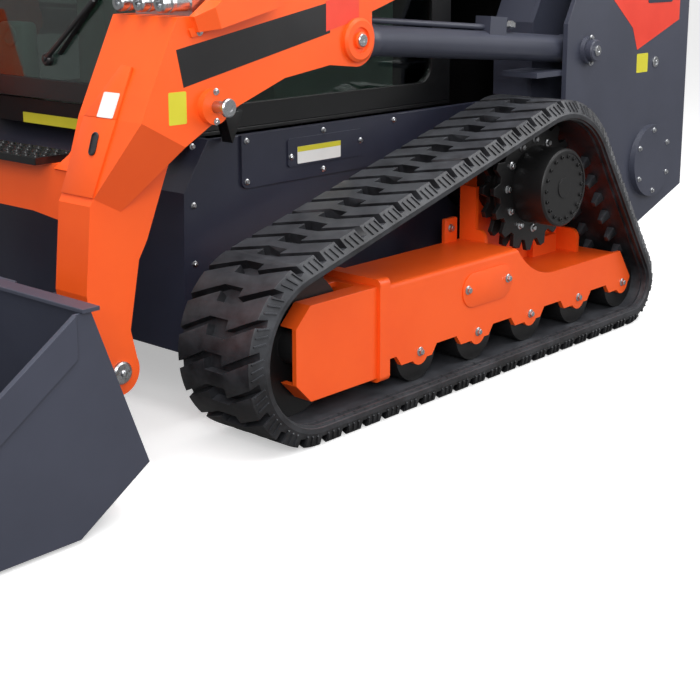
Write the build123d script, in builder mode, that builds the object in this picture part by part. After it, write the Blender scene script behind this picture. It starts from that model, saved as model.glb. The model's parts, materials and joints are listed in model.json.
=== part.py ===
from build123d import *
import os
from math import acos, atan2, cos, hypot, pi, radians, sin, tan

# Compact track loader, radial lift, bucket on the ground.
# Millimetres; +X forward, +Y to the machine's left, +Z up, ground at z = 0,
# origin under the middle of the whole machine.

# Running gear
track_width = 320
track_gap = 105
belt_thickness = 28
lug_height = 30
belt_edge = 14
lug_taper = 22
shoe_pitch = 86
groove_width = 22
groove_rise = 61
window_width = 70
window_length = 52
roller_count = 5
roller_pitch = 294
front_roller_x = -195
roller_radius = 94
idler_x = 292
idler_radius = 213
idler_rim = 60
idler_hub_radius = 55
belt_top_x = -886
belt_top_z = 523
belt_top_radius = 283
sprocket_x = -886
sprocket_z = 574
sprocket_teeth = 17
tooth_height = 34
tooth_tip_width = 24
tooth_root_width = 52
sprocket_row = 16
sprocket_row_pitch = 44
sprocket_tip_radius = 228
sprocket_drum_radius = 172
hub_radius = 131
hub_length = 123
hub_edge = 6
cover_disc_radius = 118
cover_disc_step = 3
cap_radius = 34
drive_neck_radius = 100
motor_radius = 115
running_gap = 0.3

# Track frame
frame_width = 202
deck_ledge = 39
frame_plate = 16
deck_z = 390
low_deck_z = 274
frame_lip = 10
lip_width = 12
deck_edge_radius = 14
dip_front_x = -697
dip_mid_x = -772
dip_mid_z = 318
dip_rear_x = -930
frame_front_x = -40
frame_rear_top_x = -1349
frame_rear_x = -1424
frame_rear_z = 168
frame_lower_z = 162
lobe_radius = 40
lobe_drop = 22
lobe_front = 112
lobe_rear = 82
lobe_slant = 24
collar_length = 45
collar_low_z = 101
collar_high_z = 415
collar_proud = 11
collar_corner = 18
yoke_front_x = 345
yoke_low_z = 115
yoke_high_z = 393
yoke_chamfer = 58
yoke_flange = 48
yoke_back = 30
motor_arch_radius = 165
bracket_front_x = -700
bracket_rear_x = -1282
bracket_reach = 106
bracket_stem = 66
bracket_foot_height = 40
bracket_rear_height = 75
bracket_corner = 30
frame_foot_width = 150
frame_foot_low_z = 250
frame_foot_high_z = 330
frame_foot_xs = (-260, -1160)

# Chassis
chassis_half_width = 555
chassis_wall = 20
chassis_front_x = 430
chassis_bottom_z = 211
nose_knee_z = 679
nose_setback = 14
nose_top_x = 320
ledge_z = 822
tub_rear_x = -1800
tub_rear_z = 440
tub_belly_run = 270
cover_front_x = 198
cover_rear_x = -506
cover_low_z = 664
cover_corner = 22
cover_thickness = 8
hatch_front_x = 10
hatch_rear_x = -330
hatch_low_z = 706
hatch_high_z = 792
hatch_thickness = 5
engine_x = -1200
engine_length = 580
engine_width = 640
engine_height = 780
engine_corner = 60

# Rear towers
tank_width = 145
tower_width = 160
tower_plate = 18
tower_rear_x = -1884
tower_front_x = -1047
tower_rear_low_z = 449
tower_toe_z = 307
tower_front_bend_z = 1101
tower_shoulder = 74
tower_rear_bend_z = 1300
tower_head_radius = 128
track_clearance = 18
tank_top_z = 1240
service_cover_x = -1626
service_cover_z = 571
service_cover_radius = 135
service_cover_proud = 22
shelf_length = 150
shelf_z = 945
pin_collar = 22
pin_collar_proud = 16
pin_proud = 30

# Lift arm
lift_pivot_x = -1550
lift_pivot_z = 1720
lift_pin_radius = 32
arm_width = 140
arm_plate = 18
beam_inner_play = 22
beam_outer_play = 6
beam_depth = 195
beam_front_x = -36
beam_front_top_z = 1360
beam_front_rise = 40
pivot_eye_radius = 98
rod_boss_radius = 75
rod_boss_run = 112
rod_boss_rise = 98
rod_pocket = 62
leg_inset = 120
leg_width = 128
bucket_pin_x = 807
bucket_pin_z = 286
bucket_pin_radius = 26
leg_eye_radius = 62
pin_end = 12
fork_wall = 28
fork_reach = 120
lifting_pin_x = 584
lifting_pin_z = 964
lifting_pin_radius = 16
lifting_boss_radius = 46
lifting_boss_proud = 20
lifting_pin_reach = 50
cross_plate = 14
cross_top_x = 774
cross_top_z = 796
cross_low_x = 786
cross_low_z = 660
cross_box_depth = 96
cross_box_half_width = 470
cross_scallop_start = 360
wing_lean = 33.4
wing_slot_length = 52
wing_slot_width = 26
step_length = 138
step_overhang = 54
step_half_width = 440
step_height = 20
coupler_radius = 20
coupler_length = 70
coupler_spacing = 80
coupler_inset = 35
coupler_rise = 32
coupler_block_x = 566
coupler_block_length = 64
coupler_block_width = 218
coupler_block_height = 60
coupler_block_inset = 10
hose_cover_proud = 60
hose_cover_edge = 40

# Lift cylinders
lift_base_x = -1172
lift_base_z = 1007
lift_rod_x = 27
lift_rod_z = 1102
lift_barrel_radius = 46
lift_gland_radius = 50
lift_gland_length = 40
lift_gland_setback = 95
lift_rod_inner = 130
lift_rod_radius = 24
lift_eye_radius = 50
lift_eye_width = 80
lift_pin_small_radius = 25
lift_pipe_radius = 9
lift_pipe_height = 58
lift_valve_start = 430
lift_valve_length = 90
lift_valve_width = 60
lift_valve_height = 93

# Tilt cylinders
tilt_base_x = 566
tilt_base_z = 964
tilt_rod_x = 830
tilt_rod_z = 425
tilt_side_gap = 26
tilt_barrel_radius = 35
tilt_rod_radius = 20
tilt_eye_radius = 40
tilt_eye_width = 60
tilt_pin_radius = 22
tilt_gland_setback = 130
tilt_rod_inner = 130
tilt_bore_start = 60
pin_clearance = 0.4

# Bucket and hitch
bucket_overhang = 20
bucket_side_plate = 16
bucket_wall = 14
bucket_floor_z = 12
bucket_heel_x = 927
bucket_heel_z = 144
bucket_toe_x = 1137
bucket_top_x = 1087
bucket_top_z = 562
bucket_tip_x = 1910
edge_length = 190
edge_thickness = 22
edge_bevel = 45
edge_tip = 4
lip_bar_depth = 26
lip_bar_height = 10
lip_bar_back = 24
bucket_cheek = 42
cheek_doubler = 8
cheek_run = 147
cheek_drop = 102
cheek_tip = 60
cheek_tip_height = 50
cheek_foot = 40
hitch_depth = 60
hitch_low = 60
hitch_head = 40
rail_low = 50
rail_high = 190
rail_depth = 40
ear_low = 40
ear_high = 220
ear_edge = 10
lug_low = 120
lug_high = 330
hitch_ear_width = 62
lug_plate = 14
lug_gap = 6

# Cab
cab_half_width = 505
cab_wall = 30
cab_rear_x = -860
cab_floor_z = 835
cab_front_low_x = 432
cab_front_top_x = 330
cab_roof_z = 2040
roof_thickness = 62
roof_overhang = 20
roof_edge = 25
roof_corner = 60
pillar_width = 75
window_low_z = 905
window_head = 80
window_corner = 60
rear_window_low_z = 1480
rear_window_inset = 70
glass_thickness = 8
door_thickness = 40
door_inset = 35
door_low_z = 905
door_gap = 6
door_head = 10
door_rail = 60
door_corner = 50
door_glass_corner = 40
door_hinge_inset = 18
door_hinge_out = 20
door_hinge_low = 230
door_hinge_head = 245
hinge_radius = 12
hinge_pin_radius = 6
hinge_length = 70
hinge_bracket = 22
hinge_play = 1
hinge_lap = 4
seat_x = -420
seat_half_width = 230
seat_z = 1130
seat_front = 250
seat_back_foot = 235
seat_depth = 100
backrest_height = 630
backrest_lean = 105
backrest_thickness = 92
pedestal_length = 420
pedestal_width = 340
console_x = -300
console_length = 560
console_width = 150
console_height = 480
console_corner = 40
lever_x = -110
lever_radius = 16
lever_height = 150
lamp_y = 330
lamp_depth = 46
lamp_width = 130
lamp_height = 42
lamp_rise = 14

# Rear body
bumper_rear_x = -1910
door_rear_x = -1850
hood_top_z = 1450
hood_front_x = -905
hood_side_gap = 15
hood_wall = 14
hood_low_z = 1246
hood_slope_run = 160
hood_slope_drop = 30
hood_tail_drop = 130
hood_hinge_x = -884
hood_hinge_z = 1438
hood_hinge_ys = (-330, 330)
rear_door_thickness = 40
rear_door_play = 5
rear_leaf_width = 46
rear_door_low_z = 548
rear_door_high_z = 1240
grille_count = 9
grille_pitch = 58
grille_length = 400
grille_width = 26
grille_bar = 60
rear_hinge_x = -1901
rear_hinge_clear = 11
rear_hinge_zs = (680, 1100)
rear_hinge_radius = 9
rear_pin_radius = 5
bumper_low_z = 452
bumper_height = 90
tow_slot_depth = 56
tow_slot_width = 120
tow_slot_height = 40
tow_hole_inset = 28
tow_hole_radius = 13
exhaust_x = -1700
exhaust_radius = 38
exhaust_wall = 4
exhaust_height = 330
exhaust_bore = 120
body_gap = 6


def side_plane(y):
    """Upright sketch plane at a distance y left of centre: its x is forward, its y is up."""
    return Plane.XZ.offset(-y)


def polar(centre, radius, angle):
    return (centre[0] + radius * cos(angle), centre[1] + radius * sin(angle))


def profile(points, mode=Mode.ADD):
    """Closed straight-sided face on the sketch in hand."""
    Polygon(*points, align=None, mode=mode)


# Worked out from the driving dimensions
track_inner_y = chassis_half_width + track_gap
track_outer_y = track_inner_y + track_width
track_centre_y = track_inner_y + track_width / 2
frame_outer_y = track_centre_y + frame_width / 2
frame_inner_y = track_centre_y - frame_width / 2
deck_inner_y = frame_inner_y - deck_ledge
tower_inner_y = chassis_half_width + tank_width
tower_outer_y = tower_inner_y + tower_width
beam_inner_y = tower_inner_y + tower_plate + beam_inner_play
beam_outer_y = tower_outer_y - tower_plate - beam_outer_play
arm_outer_y = tower_outer_y
arm_inner_y = arm_outer_y - arm_width
leg_outer_y = arm_outer_y - leg_inset
leg_inner_y = leg_outer_y - leg_width
lift_cylinder_y = (arm_outer_y + arm_inner_y) / 2
tilt_cylinder_y = leg_inner_y - tilt_eye_width / 2 - tilt_side_gap
hitch_half_width = tilt_cylinder_y + tilt_eye_width / 2 + lug_gap + lug_plate
bucket_half_width = track_outer_y + bucket_overhang
door_half_width = cab_half_width - door_inset
door_hinge_y = cab_half_width - door_hinge_inset
window_high_z = cab_roof_z - window_head
hood_half_width = chassis_half_width - hood_side_gap
rear_door_half_width = hood_half_width - rear_door_play
rear_hinge_y = -(hood_half_width + rear_hinge_clear)
exhaust_y = -(chassis_half_width + tank_width / 2)
door_hinge_heights = (door_hinge_low, cab_roof_z - cab_floor_z - door_hinge_head)
shoe_thickness = belt_thickness + lug_height
roller_z = shoe_thickness + roller_radius
idler_z = shoe_thickness + idler_radius
roller_xs = [front_roller_x - roller_pitch * i for i in range(roller_count)]
pulleys = [
    ((roller_xs[-1], roller_z), roller_radius),
    ((idler_x, idler_z), idler_radius),
    ((belt_top_x, belt_top_z), belt_top_radius),
]


def strand_normal(first, second):
    """Angle of the outward normal of the belt's straight run from one pulley to the next."""
    (ax, az), ra = first
    (bx, bz), rb = second
    return (atan2(bz - az, bx - ax) - acos((ra - rb) / hypot(bx - ax, bz - az))) % (2 * pi)


belt_normals = [strand_normal(pulleys[i], pulleys[(i + 1) % len(pulleys)]) for i in range(len(pulleys))]
belt_turns = [(belt_normals[i] - belt_normals[i - 1]) % (2 * pi) for i in range(len(pulleys))]


def belt_loop(offset):
    """The belt's line round its three pulleys, a distance outside its inner face."""
    for i, (centre, radius) in enumerate(pulleys):
        start = belt_normals[i - 1]
        arc = [polar(centre, radius + offset, start + belt_turns[i] * share) for share in (0, 0.5, 1)]
        ThreePointArc(*arc)
        after, after_radius = pulleys[(i + 1) % len(pulleys)]
        Line(arc[2], polar(after, after_radius + offset, belt_normals[i]))


def shoe_planes():
    """A plane for each groove of the tread, on the belt's outer face: x across the belt, y along it."""
    stretches = []
    for i, (centre, radius) in enumerate(pulleys):
        outer = radius + belt_thickness
        after, after_radius = pulleys[(i + 1) % len(pulleys)]
        leave = polar(centre, outer, belt_normals[i])
        meet = polar(after, after_radius + belt_thickness, belt_normals[i])
        stretches.append((centre, outer, belt_normals[i - 1], outer * belt_turns[i],
                          hypot(meet[0] - leave[0], meet[1] - leave[1])))
    length = sum(arc + run for _, _, _, arc, run in stretches)
    count = round(length / shoe_pitch)
    planes = []
    for k in range(count):
        distance = length * k / count
        for centre, outer, start, arc, run in stretches:
            if distance < arc + run:
                break
            distance -= arc + run
        angle = start + min(distance, arc) / outer
        beyond = max(distance - arc, 0)
        x, z = polar(centre, outer, angle)
        planes.append(Plane(origin=(x - beyond * sin(angle), track_centre_y, z + beyond * cos(angle)),
                            x_dir=(0, 1, 0), z_dir=(cos(angle), 0, sin(angle))))
    return planes


def along(x, z, to_x, to_z, distance, y):
    """Point on the line from one pin to another, with the plane square to that line there."""
    length = hypot(to_x - x, to_z - z)
    ux, uz = (to_x - x) / length, (to_z - z) / length
    return Plane(origin=(x + ux * distance, y, z + uz * distance), x_dir=(0, 1, 0), z_dir=(ux, 0, uz))


# Tracks: a belt with tapered shoes, parted by stepped grooves that open at the sprocket windows
groove_reach = track_width / 2 + 2
half_groove = [
    (window_width / 2, -window_length / 2),
    (groove_reach, -window_length / 2 + groove_rise),
    (groove_reach, -window_length / 2 + groove_rise + groove_width),
    (window_width / 2, -window_length / 2 + groove_width),
    (window_width / 2, window_length / 2),
]
groove_outline = half_groove + [(-x, -y) for x, y in half_groove]
with BuildPart() as track_left:
    with BuildSketch(side_plane(track_outer_y)):
        with BuildLine():
            belt_loop(shoe_thickness)
        make_face()
        with BuildLine():
            belt_loop(0)
        make_face(mode=Mode.SUBTRACT)
    extrude(amount=track_width)
    for side in (-1, 0):
        flank = faces().sort_by(Axis.Y)[side]
        chamfer(flank.outer_wire().edges(), length=shoe_thickness - belt_edge, length2=lug_taper,
                reference=flank)
    with BuildSketch(*shoe_planes()):
        profile(groove_outline)
    extrude(amount=2 * lug_height, mode=Mode.SUBTRACT)

with BuildPart() as track_right:
    mirror(track_left.part, about=Plane.XZ)

# Drive sprockets: two toothed rows on a drum
tooth_root_radius = sprocket_tip_radius - tooth_height
tooth = [(-tooth_height, -tooth_root_width / 2), (0, -tooth_root_width / 2),
         (tooth_height, -tooth_tip_width / 2),
         (tooth_height, tooth_tip_width / 2), (0, tooth_root_width / 2),
         (-tooth_height, tooth_root_width / 2)]
drum_width = sprocket_row_pitch - sprocket_row
with BuildPart() as drive_sprockets:
    for row in (-1, 1):
        with BuildSketch(side_plane(track_centre_y + (row * sprocket_row_pitch + sprocket_row) / 2)):
            with Locations((sprocket_x, sprocket_z)):
                Circle(tooth_root_radius)
                with PolarLocations(tooth_root_radius, sprocket_teeth):
                    profile(tooth)
                Circle(drive_neck_radius + running_gap, mode=Mode.SUBTRACT)
        extrude(amount=sprocket_row)
    with BuildSketch(side_plane(track_centre_y + drum_width / 2)):
        with Locations((sprocket_x, sprocket_z)):
            Circle(sprocket_drum_radius)
            Circle(drive_neck_radius + running_gap, mode=Mode.SUBTRACT)
    extrude(amount=drum_width)
    mirror(about=Plane.XZ)

# Final drives: motor inside the sprocket, neck through it, hub with a cover disc and cap outside
sprocket_inner_y = track_centre_y - (sprocket_row_pitch + sprocket_row) / 2
sprocket_outer_y = track_centre_y + (sprocket_row_pitch + sprocket_row) / 2
hub_face_y = sprocket_outer_y + hub_length
with BuildPart() as final_drives:
    with BuildSketch(Plane.XY.offset(sprocket_z)):
        with Locations((sprocket_x, 0)):
            profile([(0, chassis_half_width), (motor_radius, chassis_half_width),
                     (motor_radius, sprocket_inner_y),
                     (drive_neck_radius, sprocket_inner_y), (drive_neck_radius, sprocket_outer_y),
                     (hub_radius, sprocket_outer_y), (hub_radius, hub_face_y - hub_edge),
                     (hub_radius - hub_edge, hub_face_y), (cover_disc_radius, hub_face_y),
                     (cover_disc_radius, hub_face_y - cover_disc_step),
                     (cap_radius, hub_face_y - cover_disc_step),
                     (cap_radius, hub_face_y), (0, hub_face_y)])
    revolve(axis=Axis((sprocket_x, 0, sprocket_z), (0, 1, 0)))
    mirror(about=Plane.XZ)

# Bottom rollers, running between the frame's side plates
with BuildPart() as track_rollers:
    for x in roller_xs:
        with BuildSketch(side_plane(frame_outer_y - frame_plate - running_gap)):
            with Locations((x, roller_z)):
                Circle(roller_radius - running_gap)
        extrude(amount=frame_width - 2 * (frame_plate + running_gap))
    mirror(about=Plane.XZ)

# Front idlers on their long hubs
idler_drums = ((idler_radius - running_gap, idler_rim), (idler_hub_radius, frame_width - 2 * frame_plate))
with BuildPart() as front_idlers:
    for radius, width in idler_drums:
        with BuildSketch(side_plane(track_centre_y + width / 2)):
            with Locations((idler_x, idler_z)):
                Circle(radius)
        extrude(amount=width)
    mirror(about=Plane.XZ)

# Idler yokes: a flanged channel either side of the idler, tied by a back plate against the frame's collar
yoke_start_x = frame_front_x + collar_length
yoke_outline = [
    (yoke_start_x, yoke_low_z), (yoke_front_x - yoke_chamfer, yoke_low_z),
    (yoke_front_x, yoke_low_z + yoke_chamfer), (yoke_front_x, yoke_high_z - yoke_chamfer),
    (yoke_front_x - yoke_chamfer, yoke_high_z), (yoke_start_x, yoke_high_z),
]
with BuildPart() as idler_yokes:
    for y in (frame_outer_y, frame_inner_y + frame_plate):
        with BuildSketch(side_plane(y)):
            profile(yoke_outline)
        extrude(amount=frame_plate)
    for y in (frame_outer_y - frame_plate, frame_inner_y + frame_plate + yoke_flange):
        with BuildSketch(side_plane(y)):
            profile(yoke_outline)
            offset(amount=-frame_plate, mode=Mode.SUBTRACT)
            with Locations((yoke_front_x, (yoke_low_z + yoke_high_z) / 2)):
                Rectangle(4 * frame_plate, yoke_high_z - yoke_low_z - 2 * yoke_chamfer, mode=Mode.SUBTRACT)
        extrude(amount=yoke_flange)
    with BuildSketch(side_plane(frame_outer_y)):
        with Locations((yoke_start_x, yoke_low_z)):
            Rectangle(yoke_back, yoke_high_z - yoke_low_z, align=(Align.MIN, Align.MIN))
    extrude(amount=frame_width)
    mirror(about=Plane.XZ)


def deck_line(drop):
    """A track frame's deck line, front to rear through the dip under the sprocket, lowered by a drop."""
    Line((frame_front_x, deck_z - drop), (dip_front_x, deck_z - drop))
    dip_line(drop)
    Line((dip_rear_x, low_deck_z - drop), (frame_rear_top_x, low_deck_z - drop))


def dip_line(drop):
    """The dip's own curve."""
    ThreePointArc((dip_front_x, deck_z - drop), (dip_mid_x, dip_mid_z - drop),
                  (dip_rear_x, low_deck_z - drop))


# Track frames: a box open below, its side plates carrying the rollers in scalloped lobes
lobe_low_z = roller_z - lobe_drop
under_deck = frame_lip + frame_plate
with BuildPart() as track_frame_left:
    with BuildSketch(side_plane(frame_outer_y)):
        with BuildLine():
            deck_line(0)
            Polyline((frame_rear_top_x, low_deck_z), (frame_rear_x, frame_rear_z),
                     (frame_rear_x, frame_lower_z),
                     (frame_front_x, frame_lower_z), (frame_front_x, deck_z))
        make_face()
        for x in roller_xs:
            with Locations((x, roller_z)):
                Circle(lobe_radius)
            profile([(max(x - lobe_rear, frame_rear_x), frame_lower_z),
                     (max(x - lobe_rear, frame_rear_x) + lobe_slant, lobe_low_z),
                     (x + lobe_front - lobe_slant, lobe_low_z), (x + lobe_front, frame_lower_z)])
    extrude(amount=frame_outer_y - deck_inner_y)
    fillet(edges().filter_by(Axis.X).group_by(Axis.Z)[-1].sort_by(Axis.Y)[-1], deck_edge_radius)
    # The deck lies a lip's height below the side plate along the dip
    with BuildSketch(side_plane(frame_outer_y - lip_width)):
        with BuildLine():
            dip_line(frame_lip)
            Polyline((dip_rear_x, low_deck_z - frame_lip), (frame_rear_x, low_deck_z - frame_lip),
                     (frame_rear_x, deck_z), (dip_front_x, deck_z), (dip_front_x, deck_z - frame_lip))
        make_face()
    extrude(amount=frame_outer_y - lip_width - deck_inner_y, mode=Mode.SUBTRACT)
    # Hollow below the deck, between the side plates and inboard of them
    hollows = ((frame_outer_y - frame_plate, frame_width - 2 * frame_plate), (frame_inner_y, deck_ledge))
    for outer_y, width in hollows:
        with BuildSketch(side_plane(outer_y)):
            with BuildLine():
                deck_line(under_deck)
                Polyline((frame_rear_top_x, low_deck_z - under_deck),
                         (frame_rear_x - lobe_radius, low_deck_z - under_deck),
                         (frame_rear_x - lobe_radius, 0), (frame_front_x, 0),
                         (frame_front_x, deck_z - under_deck))
            make_face()
        extrude(amount=width, mode=Mode.SUBTRACT)
    # Collar that the idler yoke slides in
    with BuildSketch(Plane(origin=(frame_front_x, track_centre_y, (collar_low_z + collar_high_z) / 2),
                           x_dir=(0, 1, 0), z_dir=(1, 0, 0))):
        RectangleRounded(frame_width + 2 * collar_proud, collar_high_z - collar_low_z, collar_corner)
    extrude(amount=collar_length)
    # Motor bracket: a plate behind the sprocket with a flange at each end
    with BuildSketch(side_plane(deck_inner_y + frame_plate)):
        with Locations((sprocket_x, sprocket_z)):
            Circle(motor_arch_radius)
        profile([(bracket_front_x, deck_z - frame_plate), (bracket_front_x, sprocket_z),
                 (sprocket_x - motor_arch_radius, sprocket_z),
                 (bracket_rear_x, low_deck_z + bracket_rear_height),
                 (bracket_rear_x, low_deck_z - under_deck), (dip_rear_x, low_deck_z - under_deck),
                 (dip_front_x, deck_z - under_deck)])
        with Locations((sprocket_x, sprocket_z)):
            Circle(motor_radius + running_gap, mode=Mode.SUBTRACT)
    extrude(amount=frame_plate)
    with BuildSketch(Plane(origin=(bracket_front_x, deck_inner_y, deck_z), x_dir=(0, 1, 0),
                           z_dir=(1, 0, 0))):
        profile([(0, -frame_plate), (bracket_reach, -frame_plate), (bracket_reach, bracket_foot_height),
                 (bracket_stem, bracket_foot_height), (bracket_stem, sprocket_z - deck_z),
                 (0, sprocket_z - deck_z)])
        fillet(vertices().group_by(Axis.Y)[1].sort_by(Axis.X)[-1], bracket_corner)
    extrude(amount=-frame_plate)
    with BuildSketch(Plane(origin=(bracket_rear_x, deck_inner_y, low_deck_z), x_dir=(0, 1, 0),
                           z_dir=(1, 0, 0))):
        profile([(0, -under_deck), (bracket_reach, -under_deck), (bracket_reach, bracket_rear_height),
                 (0, bracket_rear_height)])
        fillet(vertices().group_by(Axis.Y)[-1].sort_by(Axis.X)[-1], bracket_corner)
    extrude(amount=frame_plate)
    # Feet that bolt the frame to the chassis wall
    for x in frame_foot_xs:
        with BuildSketch(side_plane(frame_inner_y)):
            with Locations((x - frame_foot_width / 2, frame_foot_low_z)):
                Rectangle(frame_foot_width, frame_foot_high_z - frame_foot_low_z,
                          align=(Align.MIN, Align.MIN))
        extrude(amount=frame_inner_y - chassis_half_width)

with BuildPart() as track_frame_right:
    mirror(track_frame_left.part, about=Plane.XZ)

# Chassis tub: side walls, belly and sloping nose, open above
tub_belly_rear_x = tub_rear_x + tub_belly_run
with BuildPart() as chassis_tub:
    with BuildSketch(side_plane(chassis_half_width)):
        profile([
            (chassis_front_x, chassis_bottom_z), (chassis_front_x - nose_setback, nose_knee_z),
            (nose_top_x, ledge_z),
            (tub_rear_x, ledge_z), (tub_rear_x, tub_rear_z), (tub_belly_rear_x, chassis_bottom_z),
        ])
    extrude(amount=2 * chassis_half_width)
    with BuildSketch(side_plane(chassis_half_width - chassis_wall)):
        profile([
            (chassis_front_x - chassis_wall, chassis_bottom_z + chassis_wall),
            (chassis_front_x - nose_setback - chassis_wall, nose_knee_z - chassis_wall / 3),
            (nose_top_x - chassis_wall, ledge_z), (tub_rear_x + chassis_wall, ledge_z),
            (tub_rear_x + chassis_wall, tub_rear_z + 3 * chassis_wall / 4),
            (tub_belly_rear_x + chassis_wall / 2, chassis_bottom_z + chassis_wall),
        ])
    extrude(amount=2 * (chassis_half_width - chassis_wall), mode=Mode.SUBTRACT)

# Bolted access covers on the chassis walls, each with a small hatch
with BuildPart() as side_covers:
    with BuildSketch(side_plane(chassis_half_width + cover_thickness)):
        with Locations((cover_front_x, ledge_z)):
            Rectangle(cover_front_x - cover_rear_x, ledge_z - cover_low_z, align=(Align.MAX, Align.MAX))
        fillet(vertices().group_by(Axis.Y)[0], cover_corner)
    extrude(amount=cover_thickness)
    with BuildSketch(side_plane(chassis_half_width + cover_thickness + hatch_thickness)):
        with Locations((hatch_front_x, hatch_low_z)):
            RectangleRounded(hatch_front_x - hatch_rear_x, hatch_high_z - hatch_low_z, cover_corner / 2,
                             align=(Align.MAX, Align.MIN))
    extrude(amount=hatch_thickness)
    mirror(about=Plane.XZ)

# Rear towers: outer and inner plates with the arm and cylinder between, tanks inboard
lift_pivot = (lift_pivot_x, lift_pivot_z)
rear_strand = strand_normal(pulleys[2], pulleys[0])
tower_arc_radius = belt_top_radius + shoe_thickness + track_clearance
arc_end = polar(pulleys[2][0], tower_arc_radius, rear_strand)
strand_lean = tan(rear_strand)
toe_x = arc_end[0] + (arc_end[1] - tower_toe_z) * strand_lean
arc_start_angle = acos((tower_front_x - belt_top_x) / tower_arc_radius)
arc_start = polar(pulleys[2][0], tower_arc_radius, arc_start_angle)
arc_mid = polar(pulleys[2][0], tower_arc_radius, (arc_start_angle + rear_strand) / 2)


def tower_outline(top_z=None):
    """Line of a tower in side view, cut clear of the track; a low copy ends level at top_z."""
    ThreePointArc(arc_start, arc_mid, arc_end)
    Line(arc_end, (toe_x, tower_toe_z))
    Line((toe_x, tower_toe_z), (tower_rear_x, tower_rear_low_z))
    if top_z:
        Polyline((tower_rear_x, tower_rear_low_z), (tower_rear_x, top_z),
                 (tower_front_x - tower_shoulder, top_z),
                 (tower_front_x, tower_front_bend_z), arc_start)
    else:
        head_front = polar(lift_pivot, tower_head_radius, radians(30))
        head_top = polar(lift_pivot, tower_head_radius, radians(95))
        head_rear = polar(lift_pivot, tower_head_radius, radians(160))
        Polyline((tower_rear_x, tower_rear_low_z), (tower_rear_x, tower_rear_bend_z), head_rear)
        ThreePointArc(head_rear, head_top, head_front)
        Polyline(head_front, (tower_front_x, tower_front_bend_z), arc_start)


with BuildPart() as tower_left:
    for y in (tower_outer_y, tower_inner_y + tower_plate):
        with BuildSketch(side_plane(y)):
            with BuildLine():
                tower_outline()
            make_face()
        extrude(amount=tower_plate)
    with BuildSketch(side_plane(tower_inner_y)):
        with BuildLine():
            tower_outline(tank_top_z)
        make_face()
    extrude(amount=tower_inner_y - chassis_half_width)
    with BuildSketch(side_plane(tower_outer_y)):
        with Locations((tower_rear_x, tower_rear_low_z)):
            Rectangle(tower_plate, tower_rear_bend_z - tower_rear_low_z, align=(Align.MIN, Align.MIN))
    extrude(amount=tower_outer_y - tower_inner_y)
    tower_pins = ((lift_pivot, lift_pin_radius), ((lift_base_x, lift_base_z), lift_pin_small_radius))
    for centre, radius in tower_pins:
        with BuildSketch(side_plane(tower_outer_y + pin_proud)):
            with Locations(centre):
                Circle(radius)
        extrude(amount=tower_outer_y + pin_proud - tower_inner_y)
        with BuildSketch(side_plane(tower_outer_y + pin_collar_proud)):
            with Locations(centre):
                Circle(radius + pin_collar)
        extrude(amount=pin_collar_proud)
    # Round service cover low on the outer plate, and the shelf under the lift cylinder
    with BuildSketch(side_plane(tower_outer_y + service_cover_proud)):
        with Locations((service_cover_x, service_cover_z)):
            Circle(service_cover_radius)
    extrude(amount=service_cover_proud)
    with BuildSketch(side_plane(tower_outer_y - tower_plate)):
        with Locations((tower_front_x - tower_plate, shelf_z)):
            Rectangle(shelf_length + tower_plate, tower_plate, align=(Align.MIN, Align.MAX))
    extrude(amount=tower_width - tower_plate)

with BuildPart() as tower_right:
    mirror(tower_left.part, about=Plane.XZ)
    # Hinge brackets and pins for the rear door
    for z in rear_hinge_zs:
        with Locations((rear_hinge_x, rear_hinge_y, z)):
            Cylinder(rear_pin_radius, hinge_length + hinge_bracket)
        for side in (1, -1):
            centre = z + side * (hinge_length + hinge_bracket + hinge_play) / 2
            with Locations((tower_rear_x, rear_hinge_y + rear_hinge_radius, centre)):
                Box(tower_rear_x - rear_hinge_x + rear_hinge_radius, 4 * rear_hinge_radius, hinge_bracket,
                    align=(Align.MAX, Align.MAX, Align.CENTER))

# Engine as one plain block on the tub's belly
with BuildPart() as engine_block:
    with Locations((engine_x, 0, chassis_bottom_z + chassis_wall)):
        Box(engine_length, engine_width, engine_height, align=(Align.CENTER, Align.CENTER, Align.MIN))
    chamfer(edges().filter_by(Axis.Z), engine_corner)

# Rear bumper with a drawbar slot and its upright pin hole
with BuildPart() as rear_bumper:
    with Locations((tub_rear_x, 0, bumper_low_z)):
        Box(tub_rear_x - bumper_rear_x, 2 * (chassis_half_width - body_gap), bumper_height,
            align=(Align.MAX, Align.CENTER, Align.MIN))
    with Locations((bumper_rear_x, 0, bumper_low_z + bumper_height / 2)):
        Box(tow_slot_depth, tow_slot_width, tow_slot_height, align=(Align.MIN, Align.CENTER, Align.CENTER),
            mode=Mode.SUBTRACT)
    with Locations((bumper_rear_x + tow_hole_inset, 0, bumper_low_z + bumper_height / 2)):
        Cylinder(tow_hole_radius, bumper_height, mode=Mode.SUBTRACT)

# Cab floor with the low front panel
with BuildPart() as cab_floor:
    with BuildSketch(Plane.XY.offset(ledge_z)):
        with Locations((cab_rear_x, 0)):
            Rectangle(cab_front_low_x - cab_rear_x, 2 * cab_half_width, align=(Align.MIN, Align.CENTER))
    extrude(amount=cab_floor_z - ledge_z)
    with Locations((cab_front_low_x - cab_wall, 0, cab_floor_z)):
        Box(cab_wall, 2 * (cab_half_width - cab_wall), door_low_z - door_gap - cab_floor_z,
            align=(Align.MIN, Align.CENTER, Align.MIN))

cab_slope = (cab_front_low_x - cab_front_top_x) / (cab_roof_z - cab_floor_z)


def cab_front(z):
    """The front pillars' forward edge at a height."""
    return cab_front_low_x - cab_slope * (z - cab_floor_z)


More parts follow.
